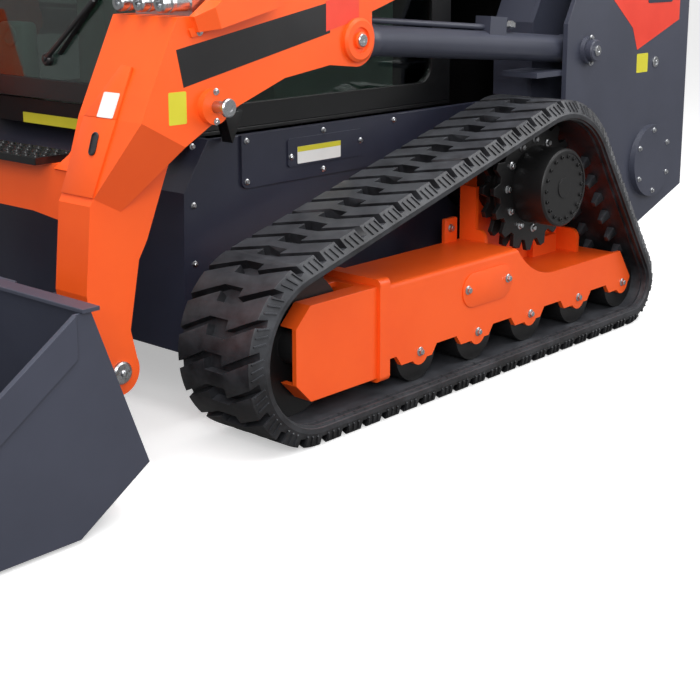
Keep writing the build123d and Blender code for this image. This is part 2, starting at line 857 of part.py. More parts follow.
window_corners = [
    (cab_front(window_low_z) - pillar_width, window_low_z),
    (cab_front(window_high_z) - pillar_width, window_high_z),
    (cab_rear_x + pillar_width + cab_wall, window_high_z),
    (cab_rear_x + pillar_width + cab_wall, window_low_z),
]
with BuildPart() as cab_side_panel:
    with BuildSketch(side_plane(cab_half_width)):
        profile([(cab_front_low_x, cab_floor_z), (cab_front_top_x, cab_roof_z),
                 (cab_rear_x, cab_roof_z), (cab_rear_x, cab_floor_z)])
        with BuildLine():
            FilletPolyline(*window_corners, radius=window_corner, close=True)
        make_face(mode=Mode.SUBTRACT)
    extrude(amount=cab_wall)

cab_lean = atan2(cab_front_low_x - cab_front_top_x, cab_roof_z - cab_floor_z)
door_plane = Plane(origin=(cab_front_low_x, 0, cab_floor_z), x_dir=(0, 1, 0),
                   z_dir=(cos(cab_lean), 0, sin(cab_lean)))
with BuildPart() as cab_side_left:
    add(cab_side_panel.part)
    # Hinge brackets and pins for the door, on the left pillar
    for height in door_hinge_heights:
        with Locations(door_plane.location * Location((door_hinge_y, height, door_hinge_out), (90, 0, 0))):
            Cylinder(hinge_pin_radius, hinge_length + hinge_bracket)
        for side in (1, -1):
            centre = height + side * (hinge_length + hinge_bracket + hinge_play) / 2
            with Locations(door_plane.location * Location((door_hinge_y, centre, 0))):
                Box(2 * hinge_radius, hinge_bracket, door_hinge_out + hinge_radius,
                    align=(Align.CENTER, Align.CENTER, Align.MIN))

with BuildPart() as cab_side_right:
    mirror(cab_side_panel.part, about=Plane.XZ)

rear_window_half_width = cab_half_width - cab_wall - rear_window_inset
with BuildPart() as cab_rear_wall:
    with Locations((cab_rear_x, 0, cab_floor_z)):
        Box(cab_wall, 2 * (cab_half_width - cab_wall), cab_roof_z - cab_floor_z,
            align=(Align.MIN, Align.CENTER, Align.MIN))
    with Locations((cab_rear_x, 0, rear_window_low_z)):
        Box(cab_wall, 2 * rear_window_half_width, window_high_z - rear_window_low_z,
            align=(Align.MIN, Align.CENTER, Align.MIN), mode=Mode.SUBTRACT)
    # Brackets and pins for the engine hood
    for y in hood_hinge_ys:
        with Locations((hood_hinge_x, y, hood_hinge_z)):
            Cylinder(hinge_pin_radius, hinge_length + hinge_bracket, rotation=(90, 0, 0))
        for side in (1, -1):
            centre = y + side * (hinge_length + hinge_bracket + hinge_play) / 2
            with Locations((cab_rear_x, centre, hood_hinge_z)):
                Box(cab_rear_x - hood_hinge_x + hinge_radius, hinge_bracket, 2 * hinge_radius,
                    align=(Align.MAX, Align.CENTER, Align.CENTER))

with BuildPart() as cab_roof:
    with BuildSketch(Plane.XY.offset(cab_roof_z)):
        with Locations((cab_rear_x - roof_overhang, 0)):
            Rectangle(cab_front_top_x + 2 * roof_overhang - cab_rear_x,
                      2 * cab_half_width + roof_overhang / 2,
                      align=(Align.MIN, Align.CENTER))
        fillet(vertices(), roof_corner)
    extrude(amount=roof_thickness)
    chamfer(faces().sort_by(Axis.Z)[-1].edges(), roof_edge)

with BuildPart() as cab_windows:
    with BuildSketch(side_plane(cab_half_width - cab_wall / 2 + glass_thickness / 2)):
        with BuildLine():
            FilletPolyline(*window_corners, radius=window_corner, close=True)
        make_face()
    extrude(amount=glass_thickness)
    mirror(about=Plane.XZ)
    with Locations((cab_rear_x + cab_wall / 2, 0, rear_window_low_z)):
        Box(glass_thickness, 2 * rear_window_half_width, window_high_z - rear_window_low_z,
            align=(Align.CENTER, Align.CENTER, Align.MIN))

# Operator's seat on its pedestal
with BuildPart() as seat_pedestal:
    with Locations((seat_x, 0, cab_floor_z)):
        Box(pedestal_length, pedestal_width, seat_z - cab_floor_z,
            align=(Align.CENTER, Align.CENTER, Align.MIN))
seat_rear_x = seat_x - seat_back_foot
with BuildPart() as seat:
    with BuildSketch(side_plane(seat_half_width)):
        profile([(seat_x + seat_front, seat_z), (seat_x + seat_front, seat_z + seat_depth),
                 (seat_rear_x + backrest_thickness, seat_z + seat_depth),
                 (seat_rear_x - backrest_lean + backrest_thickness, seat_z + backrest_height),
                 (seat_rear_x - backrest_lean, seat_z + backrest_height), (seat_rear_x, seat_z)])
    extrude(amount=2 * seat_half_width)

# Control consoles beside the seat, each with its lever
with BuildPart() as consoles:
    with Locations((console_x, cab_half_width - cab_wall, cab_floor_z)):
        Box(console_length, console_width, console_height, align=(Align.CENTER, Align.MAX, Align.MIN))
    chamfer(edges().filter_by(Axis.Y).group_by(Axis.Z)[-1], console_corner)
    with Locations((lever_x, cab_half_width - cab_wall - console_width / 2, cab_floor_z + console_height)):
        Cylinder(lever_radius, lever_height, align=(Align.CENTER, Align.CENTER, Align.MIN))
    mirror(about=Plane.XZ)

# Work lamps on the roof's front edge
with BuildPart() as work_lamps:
    with Locations((cab_front_top_x + roof_overhang, lamp_y, cab_roof_z + lamp_rise)):
        Box(lamp_depth, lamp_width, lamp_height, align=(Align.MIN, Align.CENTER, Align.MIN))
    mirror(about=Plane.XZ)

# Exhaust stack beside the hood, open at its top
with BuildPart() as exhaust_stack:
    with Locations((exhaust_x, exhaust_y, tank_top_z)):
        Cylinder(exhaust_radius, exhaust_height, align=(Align.CENTER, Align.CENTER, Align.MIN))
    with Locations((exhaust_x, exhaust_y, tank_top_z + exhaust_height)):
        Cylinder(exhaust_radius - exhaust_wall, exhaust_bore, align=(Align.CENTER, Align.CENTER, Align.MAX),
                 mode=Mode.SUBTRACT)

# Lift arm: tapering rear beam, deep front box, facet down to the leg
rod_boss_x = lift_rod_x + rod_boss_run
rod_boss_top_z = lift_rod_z + rod_boss_rise
coupler_seat = [(688, 1190), (coupler_block_x, 1190), (546, 1268)]
coupler_z = coupler_seat[0][1]
front_outline = [
    (rod_boss_x, 1039), (316, 1016), (483, 958), (590, 912), (672, 868), (810, 941), (782, 1003),
    *coupler_seat,
    (beam_front_x, beam_front_top_z), (beam_front_x, lift_rod_z + beam_front_rise),
]
leg_outline = [
    (483, 958), (600, 870), (645, 766), (706, 620), (735, 572), (770, 392),
    (bucket_pin_x - leg_eye_radius, bucket_pin_z),
    (bucket_pin_x + leg_eye_radius, bucket_pin_z), (905, 506), (883, 731), (872, 749), (810, 941),
    *coupler_seat,
    (483, 1277),
]
knee_outline = [(590, 912), (672, 868), (790, 703), (872, 749), (810, 941), (688, 1190)]
facet_plane = Plane(
    origin=(810, arm_outer_y, 941),
    z_dir=(Vector(672 - 810, 0, 868 - 941)).cross(Vector(872 - 810, -leg_inset, 749 - 941)),
)
with BuildPart() as knee:
    with BuildSketch(side_plane(arm_outer_y)):
        profile(knee_outline)
    extrude(amount=arm_outer_y - leg_inner_y)
    split(bisect_by=facet_plane, keep=Keep.BOTTOM if facet_plane.z_dir.Y > 0 else Keep.TOP)

with BuildPart() as hose_cover:
    with BuildSketch(side_plane(arm_outer_y + hose_cover_proud)):
        profile([(636, 1152), (650, 1190), (546, 1262), (400, 1288), (400, 1204)])
    extrude(amount=hose_cover_proud)
    chamfer(faces().sort_by(Axis.Y)[-1].edges().sort_by(Axis.Z)[0], hose_cover_edge)

beam_end_x = beam_front_x + 4 * arm_plate
with BuildPart() as lift_arm_left:
    # Rear beam from the tower pivot
    with BuildSketch(side_plane(beam_outer_y)):
        profile([
            (beam_end_x, beam_front_top_z - arm_plate),
            (lift_pivot_x + arm_plate, lift_pivot_z + pivot_eye_radius),
            (lift_pivot_x - arm_plate, lift_pivot_z - pivot_eye_radius),
            (beam_end_x, beam_front_top_z - beam_depth - arm_plate),
        ])
        with Locations(lift_pivot):
            Circle(pivot_eye_radius)
    extrude(amount=beam_outer_y - beam_inner_y)
    # Deep front box, open inside round the rod's eye
    with BuildSketch(side_plane(arm_outer_y)):
        profile(front_outline)
        with Locations((lift_rod_x, lift_rod_z)):
            Circle(rod_boss_radius)
        profile([(lift_rod_x, lift_rod_z - rod_boss_radius), (rod_boss_x, 1039),
                 (rod_boss_x, rod_boss_top_z),
                 (beam_front_x, rod_boss_top_z), (beam_front_x, lift_rod_z)])
    extrude(amount=arm_width)
    with BuildSketch(side_plane(arm_outer_y - arm_plate)):
        with Locations((lift_rod_x, lift_rod_z)):
            Rectangle(2 * rod_boss_run, 2 * rod_pocket, align=(Align.CENTER, Align.CENTER))
            Rectangle(2 * rod_boss_run, 4 * rod_pocket, align=(Align.CENTER, Align.MAX))
    extrude(amount=arm_width - 2 * arm_plate, mode=Mode.SUBTRACT)
    # Leg down to the bucket pin, forked at its foot
    with BuildSketch(side_plane(leg_outer_y)):
        profile(leg_outline)
        with Locations((bucket_pin_x, bucket_pin_z)):
            Circle(leg_eye_radius)
    extrude(amount=leg_width)
    with BuildSketch(side_plane(leg_outer_y - fork_wall)):
        with Locations((bucket_pin_x, bucket_pin_z)):
            Rectangle(2 * fork_reach, 2 * fork_reach)
    extrude(amount=leg_width - 2 * fork_wall, mode=Mode.SUBTRACT)
    add(knee.part)
    add(hose_cover.part)
    # Lifting pin's boss, the pivot bore and the bucket pin
    with BuildSketch(side_plane(arm_outer_y + lifting_boss_proud)):
        with Locations((lifting_pin_x, lifting_pin_z)):
            Circle(lifting_boss_radius)
    extrude(amount=lifting_boss_proud)
    with BuildSketch(side_plane(arm_outer_y)):
        with Locations(lift_pivot):
            Circle(lift_pin_radius + pin_clearance)
    extrude(amount=arm_outer_y - leg_inner_y, mode=Mode.SUBTRACT)
    with BuildSketch(side_plane(leg_outer_y + pin_end)):
        with Locations((bucket_pin_x, bucket_pin_z)):
            Circle(bucket_pin_radius)
    extrude(amount=leg_width + 2 * pin_end)

with BuildPart() as lift_arm_right:
    mirror(lift_arm_left.part, about=Plane.XZ)

# Cross member between the legs: a front plate, wings bent back up to the arm and a box behind
cross_depth = hypot(cross_low_x - cross_top_x, cross_top_z - cross_low_z)
cross_plane = Plane(origin=(cross_top_x, 0, cross_top_z), x_dir=(0, 1, 0),
                    z_dir=(cross_top_z - cross_low_z, 0, cross_low_x - cross_top_x))
wing_plane = Plane(origin=(cross_top_x, 0, cross_top_z), x_dir=(0, 1, 0),
                   z_dir=(cos(radians(wing_lean)), 0, sin(radians(wing_lean))))
cross_half = [(leg_inner_y, 0), (leg_inner_y, -cross_depth - 60), (leg_inner_y - 16, -cross_depth - 28),
              (leg_inner_y - 52, -cross_depth - 20), (cross_scallop_start, -cross_depth)]
wing_inner_y = leg_inner_y - 66
with BuildPart() as arm_cross_member:
    with BuildSketch(cross_plane):
        profile(cross_half + [(-y, up) for y, up in reversed(cross_half)])
    extrude(amount=-cross_plate)
    with BuildSketch(wing_plane):
        profile([(leg_inner_y, -cross_plate), (leg_inner_y, 307), (wing_inner_y, 307), (wing_inner_y, 202),
                 (wing_inner_y - 42, 84), (wing_inner_y - 56, 30), (wing_inner_y - 91, -cross_plate)])
        with Locations((leg_inner_y - wing_slot_width - cross_plate / 2, 75)):
            SlotOverall(wing_slot_length, wing_slot_width, rotation=90, mode=Mode.SUBTRACT)
        mirror(about=Plane.YZ)
    extrude(amount=-cross_plate)
    with BuildSketch(side_plane(cross_box_half_width)):
        profile([(cross_top_x - cross_plate, cross_top_z), (cross_low_x - cross_plate, cross_low_z),
                 (cross_low_x - cross_box_depth, cross_low_z),
                 (cross_top_x - cross_box_depth, cross_top_z)])
    extrude(amount=2 * cross_box_half_width)

# Tread plate on top of the cross member
with BuildPart() as step_plate:
    with Locations((cross_top_x + step_overhang, 0, cross_top_z)):
        Box(step_length, 2 * step_half_width, step_height, align=(Align.MAX, Align.CENTER, Align.MIN))

# Quick couplers in their block on the left arm's front
with BuildPart() as aux_couplers:
    with Locations((coupler_block_x, arm_outer_y - coupler_block_inset, coupler_z)):
        Box(coupler_block_length, coupler_block_width, coupler_block_height,
            align=(Align.MIN, Align.MAX, Align.MIN))
    for i in range(3):
        with BuildSketch(Plane(origin=(coupler_block_x + coupler_block_length,
                                       arm_outer_y - coupler_inset - coupler_spacing * i,
                                       coupler_z + coupler_rise),
                               z_dir=(1, 0, 0))):
            Circle(coupler_radius)
        extrude(amount=coupler_length)

# Pins that show on the arm: lifting spools and tilt cylinder pins
with BuildPart() as arm_pins:
    with BuildSketch(side_plane(arm_outer_y + lifting_boss_proud + lifting_pin_reach)):
        with Locations((lifting_pin_x, lifting_pin_z)):
            Circle(lifting_pin_radius)
    extrude(amount=lifting_pin_reach)
    with BuildSketch(side_plane(leg_inner_y)):
        with Locations((tilt_base_x, tilt_base_z)):
            Circle(tilt_pin_radius)
    extrude(amount=leg_inner_y - (tilt_cylinder_y - tilt_eye_width / 2))
    mirror(about=Plane.XZ)


def cross_cylinder(x, z, y, radius, width, mode=Mode.ADD):
    """Round bar, eye or bore across the machine, centred on the side distance y."""
    with Locations((x, y, z)):
        Cylinder(radius, width, rotation=(90, 0, 0), mode=mode)


lift_pins = (lift_base_x, lift_base_z, lift_rod_x, lift_rod_z)
lift_closed = hypot(lift_rod_x - lift_base_x, lift_rod_z - lift_base_z)
lift_gland = lift_closed - lift_gland_setback
lift_valve_end = lift_valve_start + lift_valve_length
with BuildPart() as lift_barrels:
    cross_cylinder(lift_base_x, lift_base_z, lift_cylinder_y, lift_eye_radius, lift_eye_width)
    with BuildSketch(along(*lift_pins, 0, lift_cylinder_y)):
        Circle(lift_barrel_radius)
    extrude(amount=lift_gland)
    with BuildSketch(along(*lift_pins, lift_gland - lift_gland_length, lift_cylinder_y)):
        Circle(lift_gland_radius)
    extrude(amount=lift_gland_length)
    # Load-holding valve on top of the barrel, with its pipe to the gland
    with BuildSketch(along(*lift_pins, lift_valve_start, lift_cylinder_y)):
        with Locations((0, lift_barrel_radius / 2)):
            Rectangle(lift_valve_width, lift_valve_height - lift_barrel_radius / 2,
                      align=(Align.CENTER, Align.MIN))
    extrude(amount=lift_valve_length)
    with BuildSketch(along(*lift_pins, lift_valve_end, lift_cylinder_y)):
        with Locations((0, lift_pipe_height)):
            Circle(lift_pipe_radius)
    extrude(amount=lift_gland - lift_valve_end)
    with BuildSketch(along(*lift_pins, lift_rod_inner - lift_rod_radius, lift_cylinder_y)):
        Circle(lift_rod_radius + pin_clearance)
    extrude(amount=lift_gland, mode=Mode.SUBTRACT)
    with BuildSketch(side_plane(lift_cylinder_y + lift_eye_width)):
        with Locations((lift_base_x, lift_base_z)):
            Circle(lift_pin_small_radius + pin_clearance)
    extrude(amount=2 * lift_eye_width, mode=Mode.SUBTRACT)
    mirror(about=Plane.XZ)

with BuildPart() as lift_rods:
    cross_cylinder(lift_rod_x, lift_rod_z, lift_cylinder_y, lift_eye_radius, lift_eye_width)
    with BuildSketch(along(*lift_pins, lift_rod_inner, lift_cylinder_y)):
        Circle(lift_rod_radius)
    extrude(amount=lift_closed - lift_rod_inner)
    mirror(about=Plane.XZ)

tilt_pins = (tilt_base_x, tilt_base_z, tilt_rod_x, tilt_rod_z)
tilt_rest = hypot(tilt_rod_x - tilt_base_x, tilt_rod_z - tilt_base_z)
tilt_gland = tilt_rest - tilt_gland_setback
with BuildPart() as tilt_barrels:
    cross_cylinder(tilt_base_x, tilt_base_z, tilt_cylinder_y, tilt_eye_radius, tilt_eye_width)
    with BuildSketch(along(*tilt_pins, 0, tilt_cylinder_y)):
        Circle(tilt_barrel_radius)
    extrude(amount=tilt_gland)
    with BuildSketch(along(*tilt_pins, tilt_bore_start, tilt_cylinder_y)):
        Circle(tilt_rod_radius + pin_clearance)
    extrude(amount=tilt_gland, mode=Mode.SUBTRACT)
    with BuildSketch(side_plane(tilt_cylinder_y + tilt_eye_width)):
        with Locations((tilt_base_x, tilt_base_z)):
            Circle(tilt_pin_radius + pin_clearance)
    extrude(amount=2 * tilt_eye_width, mode=Mode.SUBTRACT)
    mirror(about=Plane.XZ)

with BuildPart() as tilt_rods:
    cross_cylinder(tilt_rod_x, tilt_rod_z, tilt_cylinder_y, tilt_eye_radius, tilt_eye_width)
    with BuildSketch(along(*tilt_pins, tilt_rod_inner, tilt_cylinder_y)):
        Circle(tilt_rod_radius)
    extrude(amount=tilt_rest - tilt_rod_inner)
    mirror(about=Plane.XZ)

# Bucket
back_length = hypot(bucket_top_x - bucket_heel_x, bucket_top_z - bucket_heel_z)
back_lean = atan2(bucket_top_x - bucket_heel_x, bucket_top_z - bucket_heel_z)
inner_half_width = bucket_half_width - bucket_side_plate
edge_rear_x = bucket_tip_x - edge_length
lip_low_z = bucket_top_z - lip_bar_height
with BuildPart() as bucket_shell:
    with BuildSketch(side_plane(inner_half_width)):
        with BuildLine():
            shell_line = Polyline((bucket_top_x, bucket_top_z), (bucket_heel_x, bucket_heel_z),
                                  (bucket_toe_x, bucket_floor_z), (edge_rear_x, bucket_floor_z))
            offset(shell_line, amount=bucket_wall, side=Side.LEFT)
        make_face()
    extrude(amount=2 * inner_half_width)
    # Flat bar along the top edge, over the side plates too
    with BuildSketch(side_plane(bucket_half_width)):
        with Locations((bucket_top_x - lip_bar_back, lip_low_z)):
            Rectangle(lip_bar_back + lip_bar_depth, lip_bar_height, align=(Align.MIN, Align.MIN))
    extrude(amount=2 * bucket_half_width)

# Side plates, each with a doubler along its sloping front edge
cheek_top = (bucket_top_x + bucket_cheek, lip_low_z)
cheek_low = (bucket_tip_x - cheek_tip, bucket_floor_z + cheek_tip_height)
with BuildPart() as bucket_sides:
    with BuildSketch(side_plane(bucket_half_width - cheek_doubler)):
        profile([(bucket_heel_x, bucket_heel_z),
                 (bucket_top_x - lip_bar_height * tan(back_lean), lip_low_z), cheek_top,
                 cheek_low, (bucket_tip_x - cheek_foot, bucket_floor_z), (bucket_toe_x, bucket_floor_z)])
    extrude(amount=bucket_side_plate - cheek_doubler)
    with BuildSketch(side_plane(bucket_half_width)):
        profile([cheek_top, cheek_low, (cheek_low[0] - cheek_run, cheek_low[1]),
                 (cheek_top[0], cheek_top[1] - cheek_drop)])
    extrude(amount=cheek_doubler)
    mirror(about=Plane.XZ)

with BuildPart() as bucket_edge:
    with BuildSketch(side_plane(inner_half_width)):
        profile([(edge_rear_x, bucket_floor_z), (edge_rear_x, bucket_floor_z + edge_thickness),
                 (bucket_tip_x - edge_bevel, bucket_floor_z + edge_thickness),
                 (bucket_tip_x, bucket_floor_z + edge_tip),
                 (bucket_tip_x, bucket_floor_z)])
    extrude(amount=2 * inner_half_width)


def behind_back(up, depth):
    """Point a height up the bucket's back from its heel and a depth behind it."""
    return (bucket_heel_x + up * sin(back_lean) - depth * cos(back_lean),
            bucket_heel_z + up * cos(back_lean) + depth * sin(back_lean))


ear_reach = leg_outer_y - fork_wall - lug_gap
ear_radius = leg_eye_radius - ear_edge
with BuildPart() as hitch_frame:
    # Upright plate on the bucket's back, with a low cross box out to the hinge ears
    with BuildSketch(side_plane(hitch_half_width)):
        profile([behind_back(hitch_low, 0), behind_back(back_length - hitch_head, 0),
                 behind_back(back_length - hitch_head, hitch_depth), behind_back(hitch_low, hitch_depth)])
    extrude(amount=2 * hitch_half_width)
    with BuildSketch(side_plane(ear_reach)):
        profile([behind_back(rail_low, 0), behind_back(rail_high, 0), behind_back(rail_high, rail_depth),
                 behind_back(rail_low, rail_depth)])
    extrude(amount=2 * ear_reach)
    for sign in (1, -1):
        top_y = ear_reach if sign > 0 else -ear_reach + hitch_ear_width
        with BuildSketch(side_plane(top_y)):
            with Locations((bucket_pin_x, bucket_pin_z)):
                Circle(ear_radius)
            profile([behind_back(ear_low, 0), behind_back(ear_high, 0),
                     (bucket_pin_x, bucket_pin_z + ear_radius),
                     (bucket_pin_x, bucket_pin_z - ear_radius)])
            with Locations((bucket_pin_x, bucket_pin_z)):
                Circle(bucket_pin_radius + pin_clearance, mode=Mode.SUBTRACT)
        extrude(amount=hitch_ear_width)
        for offset_y in (tilt_eye_width / 2 + lug_gap + lug_plate, -tilt_eye_width / 2 - lug_gap):
            with BuildSketch(side_plane(sign * tilt_cylinder_y + offset_y)):
                with Locations((tilt_rod_x, tilt_rod_z)):
                    Circle(tilt_eye_radius)
                profile([behind_back(lug_low, hitch_depth - hinge_play),
                         behind_back(lug_high, hitch_depth - hinge_play),
                         (tilt_rod_x, tilt_rod_z + tilt_eye_radius),
                         (tilt_rod_x - ear_edge, tilt_rod_z - tilt_eye_radius + hinge_lap)])
            extrude(amount=lug_plate)

# Cab door in the sloping front, hinged on its left edge
door_height = cab_roof_z - door_low_z - door_head
with BuildPart() as door_frame:
    with BuildSketch(door_plane.offset(body_gap)):
        with Locations((0, door_low_z - cab_floor_z)):
            Rectangle(2 * door_half_width, door_height, align=(Align.CENTER, Align.MIN))
        fillet(vertices(), door_corner)
        with Locations((0, door_low_z - cab_floor_z + door_rail)):
            RectangleRounded(2 * (door_half_width - door_rail), door_height - 2 * door_rail,
                             door_glass_corner,
                             align=(Align.CENTER, Align.MIN), mode=Mode.SUBTRACT)
    extrude(amount=door_thickness)
    # Hinge knuckles on the left edge
    for height in door_hinge_heights:
        with Locations(door_plane.location * Location((door_hinge_y, height, door_hinge_out), (90, 0, 0))):
            Cylinder(hinge_radius, hinge_length)
        leaf_place = Location((door_half_width - hinge_lap, height, door_hinge_out))
        with Locations(door_plane.location * leaf_place):
            Box(door_hinge_y - door_half_width + hinge_lap, hinge_length, hinge_radius,
                align=(Align.MIN, Align.CENTER, Align.CENTER))
        with Locations(door_plane.location * Location((door_hinge_y, height, door_hinge_out), (90, 0, 0))):
            Cylinder(hinge_pin_radius + pin_clearance, hinge_length, mode=Mode.SUBTRACT)

with BuildPart() as door_glass:
    with BuildSketch(door_plane.offset(body_gap + door_thickness / 2)):
        with Locations((0, door_low_z - cab_floor_z + door_rail)):
            RectangleRounded(2 * (door_half_width - door_rail), door_height - 2 * door_rail,
                             door_glass_corner,
                             align=(Align.CENTER, Align.MIN))
    extrude(amount=glass_thickness)

# Engine hood: a shell between the tanks, open below, hinged at its front top
hood_rear_x = door_rear_x
hood_slope_x = hood_rear_x + hood_slope_run
hood_slope_z = hood_top_z - hood_slope_drop
hood_outline = [(hood_front_x, hood_low_z), (hood_front_x, hood_top_z), (hood_slope_x, hood_slope_z),
                (hood_rear_x, hood_top_z - hood_tail_drop), (hood_rear_x, hood_low_z)]
hood_inside = [(hood_front_x - hood_wall, hood_low_z), (hood_front_x - hood_wall, hood_top_z - hood_wall),
               (hood_slope_x, hood_slope_z - hood_wall),
               (hood_rear_x + hood_wall, hood_top_z - hood_tail_drop - hood_wall / 2),
               (hood_rear_x + hood_wall, hood_low_z)]
with BuildPart() as engine_hood:
    with BuildSketch(side_plane(hood_half_width)):
        profile(hood_outline)
    extrude(amount=2 * hood_half_width)
    with BuildSketch(side_plane(hood_half_width - hood_wall)):
        profile(hood_inside)
    extrude(amount=2 * (hood_half_width - hood_wall), mode=Mode.SUBTRACT)
    for y in hood_hinge_ys:
        with Locations((hood_hinge_x, y, hood_hinge_z)):
            Cylinder(hinge_radius, hinge_length, rotation=(90, 0, 0))
            Box(hood_hinge_x - hood_front_x + hinge_lap, hinge_length, hinge_radius,
                align=(Align.MAX, Align.CENTER, Align.CENTER))
            Cylinder(hinge_pin_radius + pin_clearance, hinge_length, rotation=(90, 0, 0),
                     mode=Mode.SUBTRACT)

# Rear door between the towers, hinged on the right tower
with BuildPart() as rear_door:
    with Locations((door_rear_x, 0, rear_door_low_z)):
        Box(rear_door_thickness, 2 * rear_door_half_width, rear_door_high_z - rear_door_low_z,
            align=(Align.MIN, Align.CENTER, Align.MIN))
    # Air grille: two columns of slots
    with BuildSketch(Plane(origin=(door_rear_x, 0, (rear_door_low_z + rear_door_high_z) / 2),
                           x_dir=(0, 1, 0),
                           z_dir=(1, 0, 0))):
        with GridLocations(grille_length + grille_bar, grille_pitch, 2, grille_count):
            Rectangle(grille_length, grille_width)
    extrude(amount=rear_door_thickness, mode=Mode.SUBTRACT)
    for z in rear_hinge_zs:
        with Locations((rear_hinge_x, rear_hinge_y, z)):
            Cylinder(rear_hinge_radius, hinge_length)
            Box(door_rear_x - rear_hinge_x, rear_leaf_width, hinge_length,
                align=(Align.MIN, Align.MIN, Align.CENTER))
            Cylinder(rear_pin_radius + pin_clearance, hinge_length, mode=Mode.SUBTRACT)

os.makedirs("parts", exist_ok=True)
pieces = {
    "track_left": track_left,
    "track_right": track_right,
    "drive_sprockets": drive_sprockets,
    "final_drives": final_drives,
    "track_rollers": track_rollers,
    "front_idlers": front_idlers,
    "idler_yokes": idler_yokes,
    "track_frame_left": track_frame_left,
    "track_frame_right": track_frame_right,
    "chassis_tub": chassis_tub,
    "side_covers": side_covers,
    "tower_left": tower_left,
    "tower_right": tower_right,
    "engine_block": engine_block,
    "rear_bumper": rear_bumper,
    "cab_floor": cab_floor,
    "cab_side_left": cab_side_left,
    "cab_side_right": cab_side_right,
    "cab_rear_wall": cab_rear_wall,
    "cab_roof": cab_roof,
    "cab_windows": cab_windows,
    "seat_pedestal": seat_pedestal,
    "seat": seat,
    "consoles": consoles,
    "work_lamps": work_lamps,
    "exhaust_stack": exhaust_stack,
    "lift_arm_left": lift_arm_left,
    "lift_arm_right": lift_arm_right,
    "arm_cross_member": arm_cross_member,
    "step_plate": step_plate,
    "aux_couplers": aux_couplers,
    "arm_pins": arm_pins,
    "lift_barrels": lift_barrels,
    "lift_rods": lift_rods,
    "tilt_barrels": tilt_barrels,
    "tilt_rods": tilt_rods,
    "bucket_shell": bucket_shell,
    "bucket_sides": bucket_sides,
    "bucket_edge": bucket_edge,
    "hitch_frame": hitch_frame,
    "door_frame": door_frame,
    "door_glass": door_glass,
    "engine_hood": engine_hood,
    "rear_door": rear_door,
}
for name, builder in pieces.items():
    builder.part.label = name
    export_step(builder.part, f"parts/{name}.step")
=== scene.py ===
import json
from math import acos, asin, atan2, cos, hypot, pi, radians, sin, sqrt

import bmesh
import bpy
from mathutils import Matrix, Vector


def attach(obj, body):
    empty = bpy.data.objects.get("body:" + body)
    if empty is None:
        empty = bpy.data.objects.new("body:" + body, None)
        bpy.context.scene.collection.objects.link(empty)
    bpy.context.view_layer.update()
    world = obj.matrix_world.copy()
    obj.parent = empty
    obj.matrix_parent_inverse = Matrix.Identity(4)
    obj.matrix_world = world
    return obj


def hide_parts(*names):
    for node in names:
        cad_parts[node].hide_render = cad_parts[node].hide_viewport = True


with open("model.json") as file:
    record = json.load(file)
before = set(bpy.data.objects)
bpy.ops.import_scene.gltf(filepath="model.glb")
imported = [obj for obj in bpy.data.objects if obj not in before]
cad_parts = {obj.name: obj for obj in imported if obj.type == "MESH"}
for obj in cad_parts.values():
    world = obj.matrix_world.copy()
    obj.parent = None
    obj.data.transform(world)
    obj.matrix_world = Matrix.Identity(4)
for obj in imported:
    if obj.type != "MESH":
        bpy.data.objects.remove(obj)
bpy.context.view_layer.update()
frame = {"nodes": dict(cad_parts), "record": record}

nodes = frame["nodes"]

MM = 0.001
SIDES = (1, -1)

# Places on the machine, in mm: X forward, Y to the left, Z up; a pair is X and Z
arm_face = 860
tower_face = 860
frame_face = 921
frame_tab_y = 680
chassis_face = 555
side_cover_face = 563
hatch_face = 568
sprocket_face = 850
hub_face = 970
service_cover_face = 882
pin_collar_face = 876
boss_face = 880
leg_face = 740
step_top = 816
cab_front = 432
sprocket_centre = (-886, 574)
service_cover_centre = (-1626, 571)
lift_pin = (-1172, 1007)
lift_eye = (27, 1102)
hinge_pin = (807, 286)
lifting_pin = (584, 964)
lift_cylinder_y = 790
roller_xs = [-195 - 294 * i for i in range(5)]
roller_bolt_z = 153
coupler = (676, 1222)
coupler_ys = (825, 745, 665)
console_y = 400
lever_place = (-110, 1315)
cap_y = 627.5


# Materials

def linear(hex_colour):
    """An sRGB hex value as a linear colour with full alpha."""
    channels = [int(hex_colour[i:i + 2], 16) / 255 for i in (0, 2, 4)]
    return [c / 12.92 if c <= 0.04045 else ((c + 0.055) / 1.055) ** 2.4 for c in channels] + [1.0]


def put(tree, kind, settings=None, **inputs):
    """Adds a node; settings are its own choices, inputs are values or sockets to link, by name or place."""
    made = tree.nodes.new(kind)
    for name, value in (settings or {}).items():
        setattr(made, name, value)
    for name, value in inputs.items():
        name = name.replace("_", " ")
        socket = made.inputs[int(name[4:])] if name.startswith("slot") else made.inputs[name]
        if isinstance(value, bpy.types.NodeSocket):
            tree.links.new(value, socket)
        else:
            socket.default_value = value
    return made


def new_material(name):
    """A node material: itself, its tree, its shader and a coordinate socket in metres."""
    material = bpy.data.materials.new(name)
    material.use_nodes = True
    tree = material.node_tree
    place = put(tree, "ShaderNodeTexCoord").outputs["Object"]
    return material, tree, tree.nodes["Principled BSDF"], place


def two_tone(tree, shader, pattern, dark, light, start, end):
    """Colours a shader from dark to light while a pattern goes from start to end."""
    share = put(tree, "ShaderNodeMapRange", Value=pattern, From_Min=start, From_Max=end)
    colour = put(tree, "ShaderNodeMix", {"data_type": "RGBA"}, slot0=share.outputs["Result"],
                 slot6=linear(dark), slot7=linear(light))
    tree.links.new(colour.outputs[2], shader.inputs["Base Color"])


